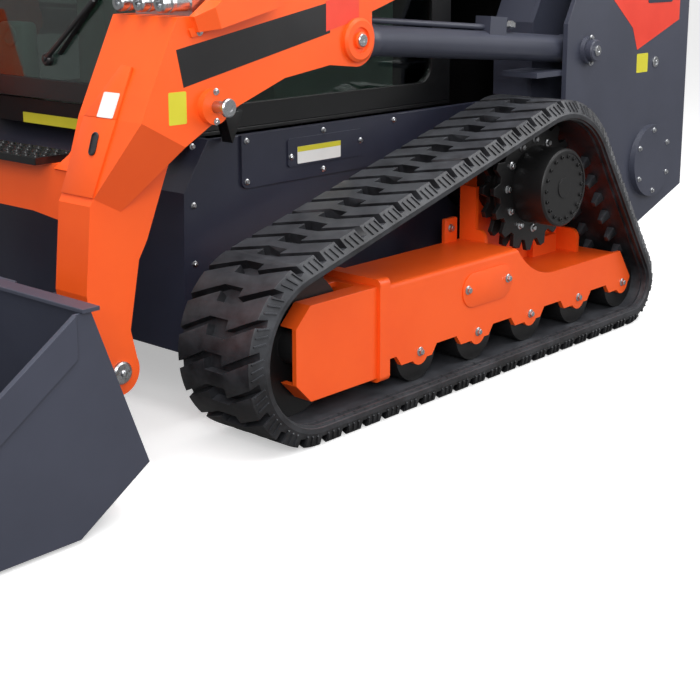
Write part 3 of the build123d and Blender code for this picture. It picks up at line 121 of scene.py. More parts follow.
def grained_skin(tree, shader, pattern, strength, height_mm):
    """Raises a pattern as a fine relief on a shader's surface."""
    bump = put(tree, "ShaderNodeBump", Strength=strength, Distance=height_mm * MM, Height=pattern)
    tree.links.new(bump.outputs["Normal"], shader.inputs["Normal"])


def enamel(name, body, shade, roughness, coat, peel_mm=2.5, peel_height_mm=0.02):
    """Sprayed enamel: slow drift between two tones, and an orange-peel ripple that breaks up the gloss."""
    drift_mm, scuff_mm = 333.3, 55.56
    material, tree, shader, place = new_material(name)
    drift = put(tree, "ShaderNodeTexNoise", Vector=place, Scale=1000 / drift_mm, Detail=4.0, Roughness=0.6)
    two_tone(tree, shader, drift.outputs["Fac"], shade, body, 0.25, 0.6)
    scuff = put(tree, "ShaderNodeTexNoise", Vector=place, Scale=1000 / scuff_mm, Detail=6.0, Roughness=0.7)
    gloss = put(tree, "ShaderNodeMapRange", Value=scuff.outputs["Fac"], From_Min=0.3, From_Max=0.75,
                To_Min=roughness - 0.02, To_Max=roughness + 0.04)
    tree.links.new(gloss.outputs["Result"], shader.inputs["Roughness"])
    peel = put(tree, "ShaderNodeTexNoise", Vector=place, Scale=1000 / peel_mm, Detail=1.0)
    grained_skin(tree, shader, peel.outputs["Fac"], 0.25, peel_height_mm)
    shader.inputs["Coat Weight"].default_value = coat
    shader.inputs["Coat Roughness"].default_value = 0.12
    return material


def moulded_rubber():
    """Moulded track rubber: matt black, greyer with dust on what faces up, with a fine pebbled skin."""
    blotch_mm, pebble_mm = 71.43, 2
    material, tree, shader, place = new_material("moulded_rubber")
    up = put(tree, "ShaderNodeNewGeometry").outputs["Normal"]
    height = put(tree, "ShaderNodeSeparateXYZ", Vector=up).outputs["Z"]
    blotch = put(tree, "ShaderNodeTexNoise", Vector=place, Scale=1000 / blotch_mm, Detail=8.0,
                 Roughness=0.65)
    dust = put(tree, "ShaderNodeMath", {"operation": "MULTIPLY_ADD"}, slot0=height, slot1=0.25,
               slot2=blotch.outputs["Fac"])
    two_tone(tree, shader, dust.outputs["Value"], "17171A", "46484D", 0.35, 0.9)
    pebble = put(tree, "ShaderNodeTexNoise", Vector=place, Scale=1000 / pebble_mm, Detail=3.0)
    grained_skin(tree, shader, pebble.outputs["Fac"], 0.35, 0.3)
    shader.inputs["Roughness"].default_value = 0.40
    return material


def machined_steel(name, light, dark, roughness, grain_mm=1.2):
    """Bare or plated steel: bright metal with a fine turned grain in its gloss."""
    material, tree, shader, place = new_material(name)
    shader.inputs["Metallic"].default_value = 1.0
    grain = put(tree, "ShaderNodeTexNoise", Vector=place, Scale=1000 / grain_mm, Detail=4.0)
    two_tone(tree, shader, grain.outputs["Fac"], dark, light, 0.3, 0.7)
    gloss = put(tree, "ShaderNodeMapRange", Value=grain.outputs["Fac"], To_Min=roughness - 0.06,
                To_Max=roughness + 0.08)
    tree.links.new(gloss.outputs["Result"], shader.inputs["Roughness"])
    return material


def laminated_glass():
    """Cab glass: clear with a faint green-grey body and slightly wavy faces."""
    wave_mm = 166.7
    material, tree, shader, place = new_material("laminated_glass")
    wave = put(tree, "ShaderNodeTexNoise", Vector=place, Scale=1000 / wave_mm, Detail=1.0)
    two_tone(tree, shader, wave.outputs["Fac"], "93A69F", "A4B5AF", 0.0, 1.0)
    grained_skin(tree, shader, wave.outputs["Fac"], 0.05, 0.2)
    shader.inputs["Transmission Weight"].default_value = 1.0
    shader.inputs["Roughness"].default_value = 0.02
    shader.inputs["IOR"].default_value = 1.5
    return material


def moulded_plastic(name, light, dark, roughness, grain_mm=0.8):
    """Moulded plastic or vinyl film: even colour under a fine grain."""
    drift_mm = 111.1
    material, tree, shader, place = new_material(name)
    drift = put(tree, "ShaderNodeTexNoise", Vector=place, Scale=1000 / drift_mm, Detail=5.0)
    two_tone(tree, shader, drift.outputs["Fac"], dark, light, 0.3, 0.7)
    grain = put(tree, "ShaderNodeTexNoise", Vector=place, Scale=1000 / grain_mm, Detail=2.0)
    grained_skin(tree, shader, grain.outputs["Fac"], 0.3, 0.1)
    shader.inputs["Roughness"].default_value = roughness
    return material


# Sprayed enamels: a warm even orange with a soft sheen, and satin slate and blue-grey
orange_enamel = enamel("orange_enamel", "FF5F1A", "F85714", 0.40, 0.06)
slate_enamel = enamel("slate_enamel", "3F4250", "383B48", 0.42, 0.04)
chassis_enamel = enamel("chassis_enamel", "2D3040", "262938", 0.38, 0.06)
# Semi-gloss black on the cab, and a coarser black on castings
black_enamel = enamel("black_enamel", "0E0F11", "0A0A0C", 0.36, 0.04)
black_cast = enamel("black_cast", "131314", "0D0D0E", 0.42, 0.0, 4.0, 0.06)
# Rubber, matt and dusty where it faces up
rubber = moulded_rubber()
# Steel: bright zinc on bolts, mirror chrome on rods, dull worn steel on the cutting edge
zinc_plate = machined_steel("zinc_plate", "D0D2D4", "A9ABAE", 0.28)
hard_chrome = machined_steel("hard_chrome", "E4E6E8", "D2D4D8", 0.10, 3.0)
worn_steel = machined_steel("worn_steel", "8B8C90", "6B6C70", 0.42)
# Cab glass, clear with a faint green-grey tint
cab_glass = laminated_glass()
# Plastics: pale grey-green trim, grained dark vinyl, glossy white and red lenses, satin black mouldings
console_plastic = moulded_plastic("console_plastic", "84998F", "788C82", 0.5)
seat_vinyl = moulded_plastic("seat_vinyl", "26272A", "1D1E20", 0.55, 2.0)
lamp_plastic = moulded_plastic("lamp_lens_plastic", "F2F3F0", "E4E6E3", 0.15)
black_plastic = moulded_plastic("black_plastic", "1D1E20", "151617", 0.4)
red_plastic = moulded_plastic("red_lens_plastic", "B3201C", "9C1613", 0.18)
# Vinyl films: flat colour with a dull sheen
red_film = moulded_plastic("red_vinyl_film", "EE4632", "E53D2A", 0.35)
black_film = moulded_plastic("black_vinyl_film", "1B1B1D", "151517", 0.35)
yellow_film = moulded_plastic("yellow_vinyl_film", "DAD23A", "D2C930", 0.4)
white_film = moulded_plastic("white_vinyl_film", "F0F1EF", "E8E9E7", 0.4)

finishes = {
    "arm_paint": orange_enamel, "slate_paint": slate_enamel, "chassis_paint": chassis_enamel,
    "black_paint": black_enamel, "track_rubber": rubber, "cab_glass": cab_glass,
    "seat_vinyl": seat_vinyl, "console_plastic": console_plastic, "lamp_lens": lamp_plastic,
    "bare_steel": zinc_plate, "chrome_rod": hard_chrome,
}
slot_of = {material.name: slot for slot, material in finishes.items()}
slot_of.update({
    black_cast.name: "black_paint", black_plastic.name: "black_paint", black_film.name: "black_paint",
    red_film.name: "arm_paint", yellow_film.name: "arm_paint",
    white_film.name: "lamp_lens", red_plastic.name: "lamp_lens",
})
own_finish = {name: black_cast for name in
              ("drive_sprockets", "final_drives", "track_rollers", "front_idlers", "engine_block")}
own_finish["bucket_edge"] = worn_steel
own_finish["work_lamps"] = black_plastic
for part in frame["record"]["subparts"]:
    node = nodes[part["node"]]
    node.data.materials.clear()
    node.data.materials.append(own_finish.get(part["node"], finishes[part["material_slot"]]))


# Modelling, done as by hand: a primitive at its size, shaped in edit mode, finished by applied modifiers

# Pieces that are modelled once and copied; they are removed at the end
masters = []


def begin():
    bpy.ops.object.select_all(action="DESELECT")


def choose(piece, kind, test):
    """Enters edit mode with only those faces or vertices selected whose middle and normal pass the test."""
    bpy.context.view_layer.objects.active = piece
    bpy.ops.object.mode_set(mode="EDIT")
    bpy.ops.mesh.select_mode(type=kind)
    bpy.ops.mesh.select_all(action="DESELECT")
    cage = bmesh.from_edit_mesh(piece.data)
    cage.normal_update()
    if kind == "FACE":
        for face in cage.faces:
            face.select = test(face.calc_center_median(), face.normal)
    else:
        for corner in cage.verts:
            corner.select = test(corner.co, corner.normal)
    cage.select_flush_mode()
    bmesh.update_edit_mesh(piece.data)


def done():
    bpy.ops.object.mode_set(mode="OBJECT")


def top_face(middle, normal):
    return normal.z > 0.9


def fix_place():
    """Puts the place, turn and scale of what is selected into its mesh."""
    bpy.ops.object.transform_apply(location=True, rotation=True, scale=True)


def applied(piece, kind, **settings):
    """Adds a modifier with its settings and applies it."""
    begin()
    piece.select_set(True)
    bpy.context.view_layer.objects.active = piece
    modifier = piece.modifiers.new(kind.lower(), kind)
    for name, value in settings.items():
        setattr(modifier, name, value)
    bpy.ops.object.modifier_apply(modifier=modifier.name)


def joined(pieces):
    """Several pieces made one, with their places put into the mesh."""
    begin()
    bpy.context.view_layer.update()
    for piece in pieces:
        piece.select_set(True)
    bpy.context.view_layer.objects.active = pieces[0]
    if len(pieces) > 1:
        bpy.ops.object.join()
    fix_place()
    return bpy.context.object


def settle(piece, name, material, body, smooth=35):
    """Gives a finished piece its name, finish and body, with its place in its mesh."""
    piece = joined([piece])
    bpy.ops.object.shade_smooth_by_angle(angle=radians(smooth))
    piece.name = piece.data.name = name
    piece.data.materials.clear()
    piece.data.materials.append(material)
    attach(piece, body)


def block(low, high, taper=None, edge=0.0, segments=2):
    """Block between two corners in mm, its top face drawn in by a taper, its edges broken by a bevel."""
    begin()
    bpy.ops.mesh.primitive_cube_add(size=1, location=[(a + b) / 2 * MM for a, b in zip(low, high)])
    piece = bpy.context.object
    piece.scale = [(b - a) * MM for a, b in zip(low, high)]
    fix_place()
    if taper:
        choose(piece, "FACE", top_face)
        bpy.ops.transform.resize(value=(taper[0], taper[1], 1))
        done()
    if edge:
        applied(piece, "BEVEL", width=edge * MM, segments=segments, limit_method="ANGLE")
    return piece


def plate(corners, thickness, edge=0.0, corner=0.0):
    """Plate on the local XY plane, in mm: a rectangle cut down along each side of a convex outline, then
    thickened towards +Z."""
    begin()
    xs, ys = zip(*corners)
    width, height = max(xs) - min(xs), max(ys) - min(ys)
    middle = ((min(xs) + width / 2) * MM, (min(ys) + height / 2) * MM, 0)
    bpy.ops.mesh.primitive_plane_add(size=1, location=middle)
    piece = bpy.context.object
    piece.scale = (width * MM, height * MM, 1)
    fix_place()
    sides = list(zip(corners, corners[1:] + corners[:1]))
    turn = 1 if sum(ax * by - bx * ay for (ax, ay), (bx, by) in sides) > 0 else -1
    bpy.ops.object.mode_set(mode="EDIT")
    for (ax, ay), (bx, by) in sides:
        bpy.ops.mesh.select_all(action="SELECT")
        outward = Vector((by - ay, ax - bx, 0)).normalized() * turn
        bpy.ops.mesh.bisect(plane_co=(ax * MM, ay * MM, 0), plane_no=outward, clear_outer=True)
    if corner:
        bpy.ops.mesh.select_all(action="SELECT")
        bpy.ops.mesh.bevel(offset=corner * MM, segments=6, affect="VERTICES")
    done()
    applied(piece, "SOLIDIFY", thickness=thickness * MM, offset=1.0)
    if edge:
        applied(piece, "BEVEL", width=edge * MM, segments=2, limit_method="ANGLE")
    return piece


def recess(piece, margin, depth):
    """Sinks a plate's top face inside a margin, in mm."""
    choose(piece, "FACE", top_face)
    bpy.ops.mesh.inset(thickness=margin * MM)
    bpy.ops.mesh.extrude_region_move(TRANSFORM_OT_translate={"value": (0, 0, -depth * MM)})
    done()


def turned(profile, steps=24):
    """Turned piece on the local Z axis: a disc extruded and scaled ring by ring, along radii and heights
    in mm."""
    begin()
    first_radius, first_height = profile[0]
    bpy.ops.mesh.primitive_circle_add(vertices=steps, radius=first_radius * MM, fill_type="NGON",
                                      location=(0, 0, first_height * MM))
    piece = bpy.context.object
    fix_place()
    bpy.ops.object.mode_set(mode="EDIT")
    bpy.ops.mesh.select_all(action="SELECT")
    for (radius, height), (next_radius, next_height) in zip(profile, profile[1:]):
        rise = (next_height - height) * MM
        bpy.ops.mesh.extrude_region_move(TRANSFORM_OT_translate={"value": (0, 0, rise)})
        bpy.ops.transform.resize(value=(next_radius / radius, next_radius / radius, 1))
    bpy.ops.mesh.select_all(action="SELECT")
    bpy.ops.mesh.normals_make_consistent(inside=False)
    done()
    return piece


def facing(place, direction, turn=0.0, size=1.0):
    """Placing, in mm, of a piece that was modelled looking along +Z."""
    look = Vector(direction).to_track_quat("Z", "Y").to_matrix().to_4x4()
    spin = Matrix.Rotation(turn, 4, "Z")
    return Matrix.Translation(Vector(place) * MM) @ look @ spin @ Matrix.Scale(size, 4)


def axes(place, x, y, z):
    """Placing, in mm, with the local axes laid along three machine directions."""
    placing = Matrix((x, y, z)).transposed().to_4x4()
    placing.translation = Vector(place) * MM
    return placing


def copies(master, placings):
    """Copies of a modelled piece, each with its own mesh, put in their places and joined."""
    if master not in masters:
        masters.append(master)
    made = []
    for placing in placings:
        twin = master.copy()
        twin.data = master.data.copy()
        bpy.context.collection.objects.link(twin)
        twin.matrix_world = placing
        made.append(twin)
    return joined(made)


def pairs(master, points, size=1.0, turn=0.0):
    """Copies on both sides of the machine that look outwards, each turned further than the last."""
    places = [((x, side * y, z), (0, side, 0)) for x, y, z in points for side in SIDES]
    return copies(master, [facing(place, way, turn * i, size) for i, (place, way) in enumerate(places)])


def side_plates(corners, y, thickness, edge=0.0, corner=0.0):
    """Plates drawn in machine X and Z that lie on both side faces and look outwards."""
    made = []
    for side in SIDES:
        piece = plate([(-side * x, z) for x, z in corners], thickness, edge, corner)
        piece.matrix_world = axes((0, side * y, 0), (-side, 0, 0), (0, 0, 1), (0, side, 0))
        made.append(piece)
    return joined(made)


def rectangle(x0, z0, x1, z1):
    return [(x0, z0), (x1, z0), (x1, z1), (x0, z1)]


def ring(centre, radius, count, y, start=0.0):
    """Places spaced evenly round a circle on a side face."""
    angles = [start + 2 * pi * i / count for i in range(count)]
    return [(centre[0] + radius * cos(a), y, centre[1] + radius * sin(a)) for a in angles]


# Bolts: a flanged hexagon bolt, 25 mm over its flange, and a socket cap screw, each modelled once

def model_bolt():
    flange = turned([(12.5, -0.5), (12.5, 1.4), (9.6, 3.0)], 20)
    begin()
    bpy.ops.mesh.primitive_cylinder_add(vertices=6, radius=8.6 * MM, depth=9 * MM, location=(0, 0, 6 * MM))
    hexagon = bpy.context.object
    fix_place()
    choose(hexagon, "FACE", top_face)
    bpy.ops.mesh.bevel(offset=1.3 * MM, segments=1, affect="EDGES")
    done()
    return joined([flange, hexagon])


bolt = model_bolt()
cap_screw = turned([(6.5, -0.5), (6.5, 5.0), (5.6, 6.0), (3.4, 6.0), (3.2, 2.5)], 16)
bolt_turn = 0.4


def bolts(name, points, body, size=1.0):
    settle(pairs(bolt, points, size, bolt_turn), name, zinc_plate, body)


frame_cover_thickness = 4
frame_tab_thickness = 14
flange_thickness = 6
sprocket_bolt_radius, sprocket_bolt_count = 152, 12
hub_screw_radius, hub_screw_count = 105, 18
service_bolt_radius, service_bolt_count, service_bolt_start = 115, 6, 0.5
collar_bolt_radius = 43
boss_bolt_radius = 38
frame_bolts = [(x, frame_face, roller_bolt_z) for x in roller_xs]
frame_bolts += [(x, frame_face + frame_cover_thickness, 302) for x in (-427, -642)]
frame_bolts += [(-633, frame_tab_y + frame_tab_thickness, 438)]
bolts("track_frame_bolts", frame_bolts, "chassis", size=1.15)
sprocket_bolts = ring(sprocket_centre, sprocket_bolt_radius, sprocket_bolt_count, sprocket_face)
bolts("sprocket_bolts", sprocket_bolts, "chassis", size=1.1)
hub_screws = ring(sprocket_centre, hub_screw_radius, hub_screw_count, hub_face)
settle(pairs(cap_screw, hub_screws, turn=bolt_turn), "hub_screws", black_cast, "chassis")
tower_bolts = ring(service_cover_centre, service_bolt_radius, service_bolt_count, service_cover_face,
                   service_bolt_start)
tower_bolts += [(lift_pin[0], pin_collar_face, lift_pin[1] + way * collar_bolt_radius) for way in (1, -1)]
bolts("tower_bolts", tower_bolts, "chassis", size=0.8)
cover_bolts = [(x, side_cover_face, z) for x in (-488, -150, 178) for z in (683, 804)]
cover_bolts += [(-3, hatch_face, 737), (-318, hatch_face, 755)]
cover_bolts += [(381, chassis_face, z) for z in (809, 640, 470)]
bolts("side_cover_bolts", cover_bolts, "chassis", size=0.75)
arm_bolts = [(lifting_pin[0], boss_face, lifting_pin[1] + way * boss_bolt_radius) for way in (1, -1)]
flange_bolts = ((622, 1151), (504, 1178), (438, 1193), (390, 1204))
arm_bolts += [(x, arm_face + flange_thickness, z) for x, z in flange_bolts]
bolts("lift_arm_bolts", arm_bolts, "lift_arm", size=0.75)

# Blank film labels, stripes and panels
film_thickness = 0.6
stripe = [(695, 1111), (673.5, 1017), (139, 1127), (139, 1210)]
settle(side_plates(stripe, arm_face, film_thickness), "arm_stripes", black_film, "lift_arm")
patch = [(155, 1131), (155, 1213), (20, 1240), (20, 1160)]
settle(side_plates(patch, arm_face, 1.5 * film_thickness), "arm_red_patches", red_film, "lift_arm")
settle(side_plates(rectangle(666, 927, 724, 1008), arm_face, film_thickness, 0, 4),
       "arm_yellow_plates", yellow_film, "lift_arm")
panel_thickness = 0.8
lower_panel = [(-1509.5, 989), (-1474, 1069), (-1474, 1450), (-1810, 1450), (-1810, 1088)]
front_panel = [(-1474, 1069), (-1336, 1173), (-1300, 1250), (-1400, 1450), (-1474, 1450)]
panels = [side_plates(corners, tower_face, panel_thickness) for corners in (lower_panel, front_panel)]
settle(joined(panels), "tower_red_panels", red_film, "chassis")
settle(side_plates(rectangle(-1750, 1155, -1573, 1300), tower_face + panel_thickness, 2.0, 0.6, 8),
       "tower_blank_plates", slate_enamel, "chassis")
settle(side_plates(rectangle(-1590, 905, -1511, 974), tower_face, film_thickness, 0, 4),
       "tower_yellow_labels", yellow_film, "chassis")
settle(side_plates(rectangle(-224, 713, -30, 765), hatch_face, film_thickness, 0, 3),
       "hatch_labels", white_film, "chassis")
band = rectangle(-224, 749, -30, 765)
settle(side_plates(band, hatch_face + film_thickness, film_thickness / 2, 0, 0.5),
       "hatch_label_bands", yellow_film, "chassis")

# Lift arm fronts: two wing plates that meet at the fold, a blank label and a slotted grommet
arm_fold = Vector((810, 0, 941))
wing_thickness = 7
upper_out, upper_up = Vector((0.911, 0, 0.412)), Vector((-0.412, 0, 0.911))
lower_out, lower_up = Vector((0.952, 0, 0.307)), Vector((-0.307, 0, 0.952))
upper_wing = [(640, 0), (768, 0), (764, 138), (723, 141)]
lower_wing = [(613, -200), (740, -200), (768, 0), (640, 0)]
label_x, label_y, label_z, label_rise = 782.6, 724, 1002, 6.2
label_lean = asin(0.412)
label_out = Vector((cos(label_lean), 0, sin(label_lean)))
label_down = Vector((sin(label_lean), 0, -cos(label_lean)))
label = plate(rectangle(-31, 0, 31, 66), 1.0, 0, 4)
label_tops = [Vector((label_x, side * label_y, label_z)) + label_out * label_rise for side in SIDES]
label_places = [axes(top, (0, -1, 0), label_down, label_out) for top in label_tops]
settle(copies(label, label_places), "arm_front_labels", white_film, "lift_arm")
grommet_x, grommet_y, grommet_z = 836, 705, 879.5
grommet = plate(rectangle(-13, -30, 13, 30), 4, 1, 12.5)
recess(grommet, margin=3, depth=3)
grommet_places = [axes((grommet_x, side * grommet_y, grommet_z), (0, 1, 0), lower_up, lower_out)
                  for side in SIDES]
settle(copies(grommet, grommet_places), "arm_grommets", rubber, "lift_arm")
wings = []
for side in SIDES:
    for corners, up, out in ((upper_wing, upper_up, upper_out), (lower_wing, lower_up, lower_out)):
        wing = plate([(side * y, height) for y, height in corners], wing_thickness, 1)
        wing.matrix_world = axes(arm_fold - out, (0, 1, 0), up, out)
        wings.append(wing)
settle(joined(wings), "arm_wing_plates", orange_enamel, "lift_arm")

# Track frames: inspection cover and bolted tab; chassis gusset; tower pins and plug
settle(side_plates(rectangle(-666, 241, -403, 352), frame_face, frame_cover_thickness, 1.2, 54),
       "frame_covers", orange_enamel, "chassis")
settle(side_plates(rectangle(-668, 385, -602, 472), frame_tab_y, frame_tab_thickness, 1.5, 6),
       "frame_tabs", orange_enamel, "chassis")
gusset_out, gusset_thickness = 5, 42
gusset = [(299, 897), (225, 903), (269, 808)]
settle(side_plates(gusset, chassis_face + gusset_out, gusset_thickness, 2.0, 6),
       "chassis_gussets", black_enamel, "chassis")
pin_cap_height, eye_face_out = 25, 19
pin_cap = turned([(38, -1), (38, 20), (34, pin_cap_height), (20, pin_cap_height)], 32)
settle(pairs(pin_cap, [(lift_pin[0], pin_collar_face, lift_pin[1])]),
       "tower_pin_caps", slate_enamel, "chassis")
pin_face = turned([(18, -1), (18, 4), (16, 6), (6, 6), (5, 4)])
settle(pairs(pin_face, [(lift_pin[0], pin_collar_face + pin_cap_height, lift_pin[1])]),
       "tower_pin_faces", zinc_plate, "chassis")
settle(pairs(pin_face, [(lift_eye[0], arm_face + eye_face_out, lift_eye[1])]),
       "lift_eye_faces", zinc_plate, "lift_arm")
plug = turned([(20, -1), (20, 3), (17, 6), (11, 6), (10, 3), (6, 3), (6, 7), (4, 8)])
settle(pairs(plug, [(-1644, tower_face, 938)]), "tower_plugs", zinc_plate, "chassis")

# Tracks: slanted ribs along the shoes' tapered outer edge, rims and guide horns on the inside of the belt
shoe_pitch = 86
belt_thickness = 28
belt_centre_y = 820
taper_middle_y, taper_middle_height = 969, 8
taper_width, taper_height = 22, 44
rib_slant = radians(24)
rib_steps = (68, 89, 110)
rim_ys = (944, 967)
horn_offset = 60
horn_step = 89
clear_of_pulley = 60
pulleys = [((-1371, 152), 94), ((292, 271), 213), ((sprocket_centre[0], 523), 283)]
normals = []
for (first, first_radius), (second, second_radius) in zip(pulleys, pulleys[1:] + pulleys[:1]):
    reach = hypot(second[0] - first[0], second[1] - first[1])
    heading = atan2(second[1] - first[1], second[0] - first[0])
    normals.append((heading - acos((first_radius - second_radius) / reach)) % (2 * pi))
stretches = []
for i, (centre, radius) in enumerate(pulleys):
    after, after_radius = pulleys[(i + 1) % len(pulleys)]
    reach = hypot(after[0] - centre[0], after[1] - centre[1])
    outer = radius + belt_thickness
    arc = outer * ((normals[i] - normals[i - 1]) % (2 * pi))
    stretches.append((centre, outer, normals[i - 1], arc, sqrt(reach ** 2 - (radius - after_radius) ** 2)))
belt_length = sum(arc + run for _, _, _, arc, run in stretches)
shoe_count = round(belt_length / shoe_pitch)


def belt_place(distance):
    """Point on the belt's outer face that far along it, its outward normal, its heading, and how far it is
    into which straight run of what length."""
    distance %= belt_length
    for i, (centre, outer, start, arc, run) in enumerate(stretches):
        if distance < arc + run:
            break
        distance -= arc + run
    angle = start + min(distance, arc) / outer
    beyond = max(distance - arc, 0)
    normal, heading = Vector((cos(angle), 0, sin(angle))), Vector((-sin(angle), 0, cos(angle)))
    point = Vector((centre[0], 0, centre[1])) + normal * outer + heading * beyond
    return point, normal, heading, (i, beyond, run)


def inside_belt(distance, y):
    """Placing on the belt's inner face that looks into the loop."""
    point, normal, heading, _ = belt_place(distance)
    place = point - normal * belt_thickness + Vector((0, y, 0))
    return axes(place, heading.cross(-normal), heading, -normal)


def rib_place(distance, side):
    """Placing on the tapered outer edge of the shoes, slanted along it."""
    point, normal, _, _ = belt_place(distance)
    out = Vector((0, side, 0))
    face = (out * taper_height + normal * taper_width).normalized()
    slope = (normal * taper_height - out * taper_width).normalized()
    slope = Matrix.Rotation(side * rib_slant, 3, face) @ slope
    return axes(point + normal * taper_middle_height + out * taper_middle_y, slope.cross(face), slope, face)


rib_places, horn_places, rim_places = [], [], []
for side in SIDES:
    for k in range(shoe_count):
        start = belt_length * k / shoe_count
        rib_places += [rib_place(start + step, side) for step in rib_steps]
        rim_places += [inside_belt(start + shoe_pitch * share, side * y)
                       for share in (0.25, 0.75) for y in rim_ys]
        stretch, beyond, run = belt_place(start + horn_step)[3]
        if stretch != 0 and clear_of_pulley < beyond < run - clear_of_pulley:
            horn_places += [inside_belt(start + horn_step, side * (belt_centre_y + offset))
                            for offset in (-horn_offset, horn_offset)]
rib = block((-3.5, -20, -2), (3.5, 20, 4), (0.5, 0.85))
rim = block((-5, -24, -2), (5, 24, 7), (0.6, 1))
horn = block((-16, -18, -2), (16, 18, 46), (0.55, 0.6), 4)
settle(copies(rib, rib_places), "track_edge_ribs", rubber, "chassis")
settle(copies(rim, rim_places), "track_inner_rims", rubber, "chassis")
settle(copies(horn, horn_places), "track_guide_horns", rubber, "chassis")

# Lift arms: pin heads, hose cover flange and clamp, coupler caps, step buttons
pin_head_out = 33
spool = turned([(16.3, 0), (24, 8), (24, 15), (21, 18), (9, 18), (8, 16)])
settle(pairs(spool, [(lifting_pin[0], boss_face + pin_head_out, lifting_pin[1])]),
       "lifting_pin_heads", zinc_plate, "lift_arm")
hinge_cap = turned([(30, 0), (30, 8), (26, 12), (10, 12), (8, 16), (5, 18)])
settle(pairs(hinge_cap, [(hinge_pin[0], leg_face, hinge_pin[1])]), "hinge_pin_caps", zinc_plate, "lift_arm")
eye_boss = turned([(62, -2), (62, 10), (54, 16), (36, 16), (34, 10), (24, 10), (23, 18), (20, 20)], 40)
settle(pairs(eye_boss, [(lift_eye[0], arm_face, lift_eye[1])]), "lift_eye_bosses", orange_enamel, "lift_arm")
flange = [(646, 1138), (656, 1160), (402, 1214), (398, 1190)]
hose_flange = side_plates(flange, arm_face, flange_thickness, 1.2, 3)
clamp = [(455, 1180), (460, 1215), (380, 1232), (375, 1197)]
hose_clamp = side_plates(clamp, arm_face, 7, 1.5, 5)
settle(joined([hose_flange, hose_clamp]), "hose_cover_flanges", orange_enamel, "lift_arm")
coupler_cap = turned([(23, 0), (23, 12), (19, 14), (19, 19), (23, 21), (23, 36), (19, 40), (10, 40),
                      (9, 30)])
settle(copies(coupler_cap, [facing((coupler[0], y, coupler[1]), (1, 0, 0)) for y in coupler_ys]),
       "coupler_caps", zinc_plate, "lift_arm")
button = turned([(11, -0.5), (10, 2.5), (7, 4), (5, 4), (4.5, 2)], 14)
button_places = [facing((x, y, step_top), (0, 0, 1))
                 for x in (712, 748, 784, 812) for y in range(-420, 421, 42)]
settle(copies(button, button_places), "step_buttons", black_enamel, "lift_arm")

# Lift cylinders: two unions at each valve block, placed along and above the cylinder's line
valve_block_along, valve_block_above = 432, 70
union_offsets = (-14, 14)
lift_way = Vector((lift_eye[0] - lift_pin[0], 0, lift_eye[1] - lift_pin[1])).normalized()
lift_up = Vector((-lift_way.z, 0, lift_way.x))
union = turned([(13, 0), (13, 22), (10, 24), (10, 34), (15, 36), (15, 62), (11, 66)], 6)
unions = []
for side in SIDES:
    foot = Vector((lift_pin[0], side * lift_cylinder_y, lift_pin[1]))
    valve_block = foot + lift_way * valve_block_along + lift_up * valve_block_above
    unions += [facing(valve_block + Vector((0, side * offset, 0)), -lift_way, 0, 0.9)
               for offset in union_offsets]
settle(copies(union, unions), "cylinder_unions", zinc_plate, "lift_barrels", 20)

# Cab front: blank strip, wiper, door handle, lamp bezels and lenses
door_base_z = 835
door_glass_out = 34
door_frame_out = 44
wiper_height = 190
wiper_turn = Matrix.Rotation(radians(-51), 4, "Z")
door_lean = atan2(102, 1205)
door_out = Vector((cos(door_lean), 0, sin(door_lean)))
door_up = Vector((-sin(door_lean), 0, cos(door_lean)))
ahead = ((0, 1, 0), (0, 0, 1), (1, 0, 0))
astern = ((0, -1, 0), (0, 0, 1), (-1, 0, 0))


def on_door(y, height, out):
    """Placing on the cab door: across, up the door and outwards."""
    place = Vector((cab_front, y, door_base_z)) + door_up * height + door_out * out
    return axes(place, (0, 1, 0), door_up, door_out)


strip = plate(rectangle(-176, 822, 150, 854), 0.8, 0, 2)
strip.matrix_world = axes((cab_front, 0, 0), *ahead)
settle(strip, "cab_sill_strip", yellow_film, "chassis")
wiper_hub = turned([(20, 0), (20, 12), (15, 18), (8, 18), (7, 22), (4, 23)])
wiper_hub.matrix_world = on_door(0, wiper_height, door_glass_out)
wiper_arm = block((-9, -8, 12), (9, 290, 20), (0.6, 0.97), 2)
wiper_arm.matrix_world = on_door(0, wiper_height, door_glass_out) @ wiper_turn
wiper_blade = block((-5, -215, 0), (5, 215, 14), (0.35, 1), 1.5)
blade_turn = Matrix.Translation((0, 270 * MM, 0)) @ Matrix.Rotation(radians(6), 4, "Z")
wiper_blade.matrix_world = on_door(0, wiper_height, door_glass_out) @ wiper_turn @ blade_turn
settle(joined([wiper_hub, wiper_arm, wiper_blade]), "door_wiper", black_plastic, "cab_door")
grip = block((-14, -80, 26), (14, 80, 46), (0.7, 0.94), 6)
feet = [block((-13, y - 14, 0), (13, y + 14, 30), (0.8, 0.8), 3) for y in (-60, 60)]
handle = joined([grip] + feet)
handle.matrix_world = on_door(-446, 420, door_frame_out)
settle(handle, "door_handle", black_plastic, "cab_door")
bezel = plate(rectangle(-74, -28, 74, 28), 10, 2, 8)
recess(bezel, margin=9, depth=9)
lens_face = plate(rectangle(-62, -17, 62, 17), 4, 1.5, 6)
lamp_x, lamp_y, lamp_z = 392, 330, 2075
lamp_faces = [axes((lamp_x, y, lamp_z), *ahead) for y in (-lamp_y, lamp_y)]
settle(copies(bezel, lamp_faces), "lamp_bezels", black_plastic, "chassis")
settle(copies(lens_face, lamp_faces), "lamp_lenses", lamp_plastic, "chassis")

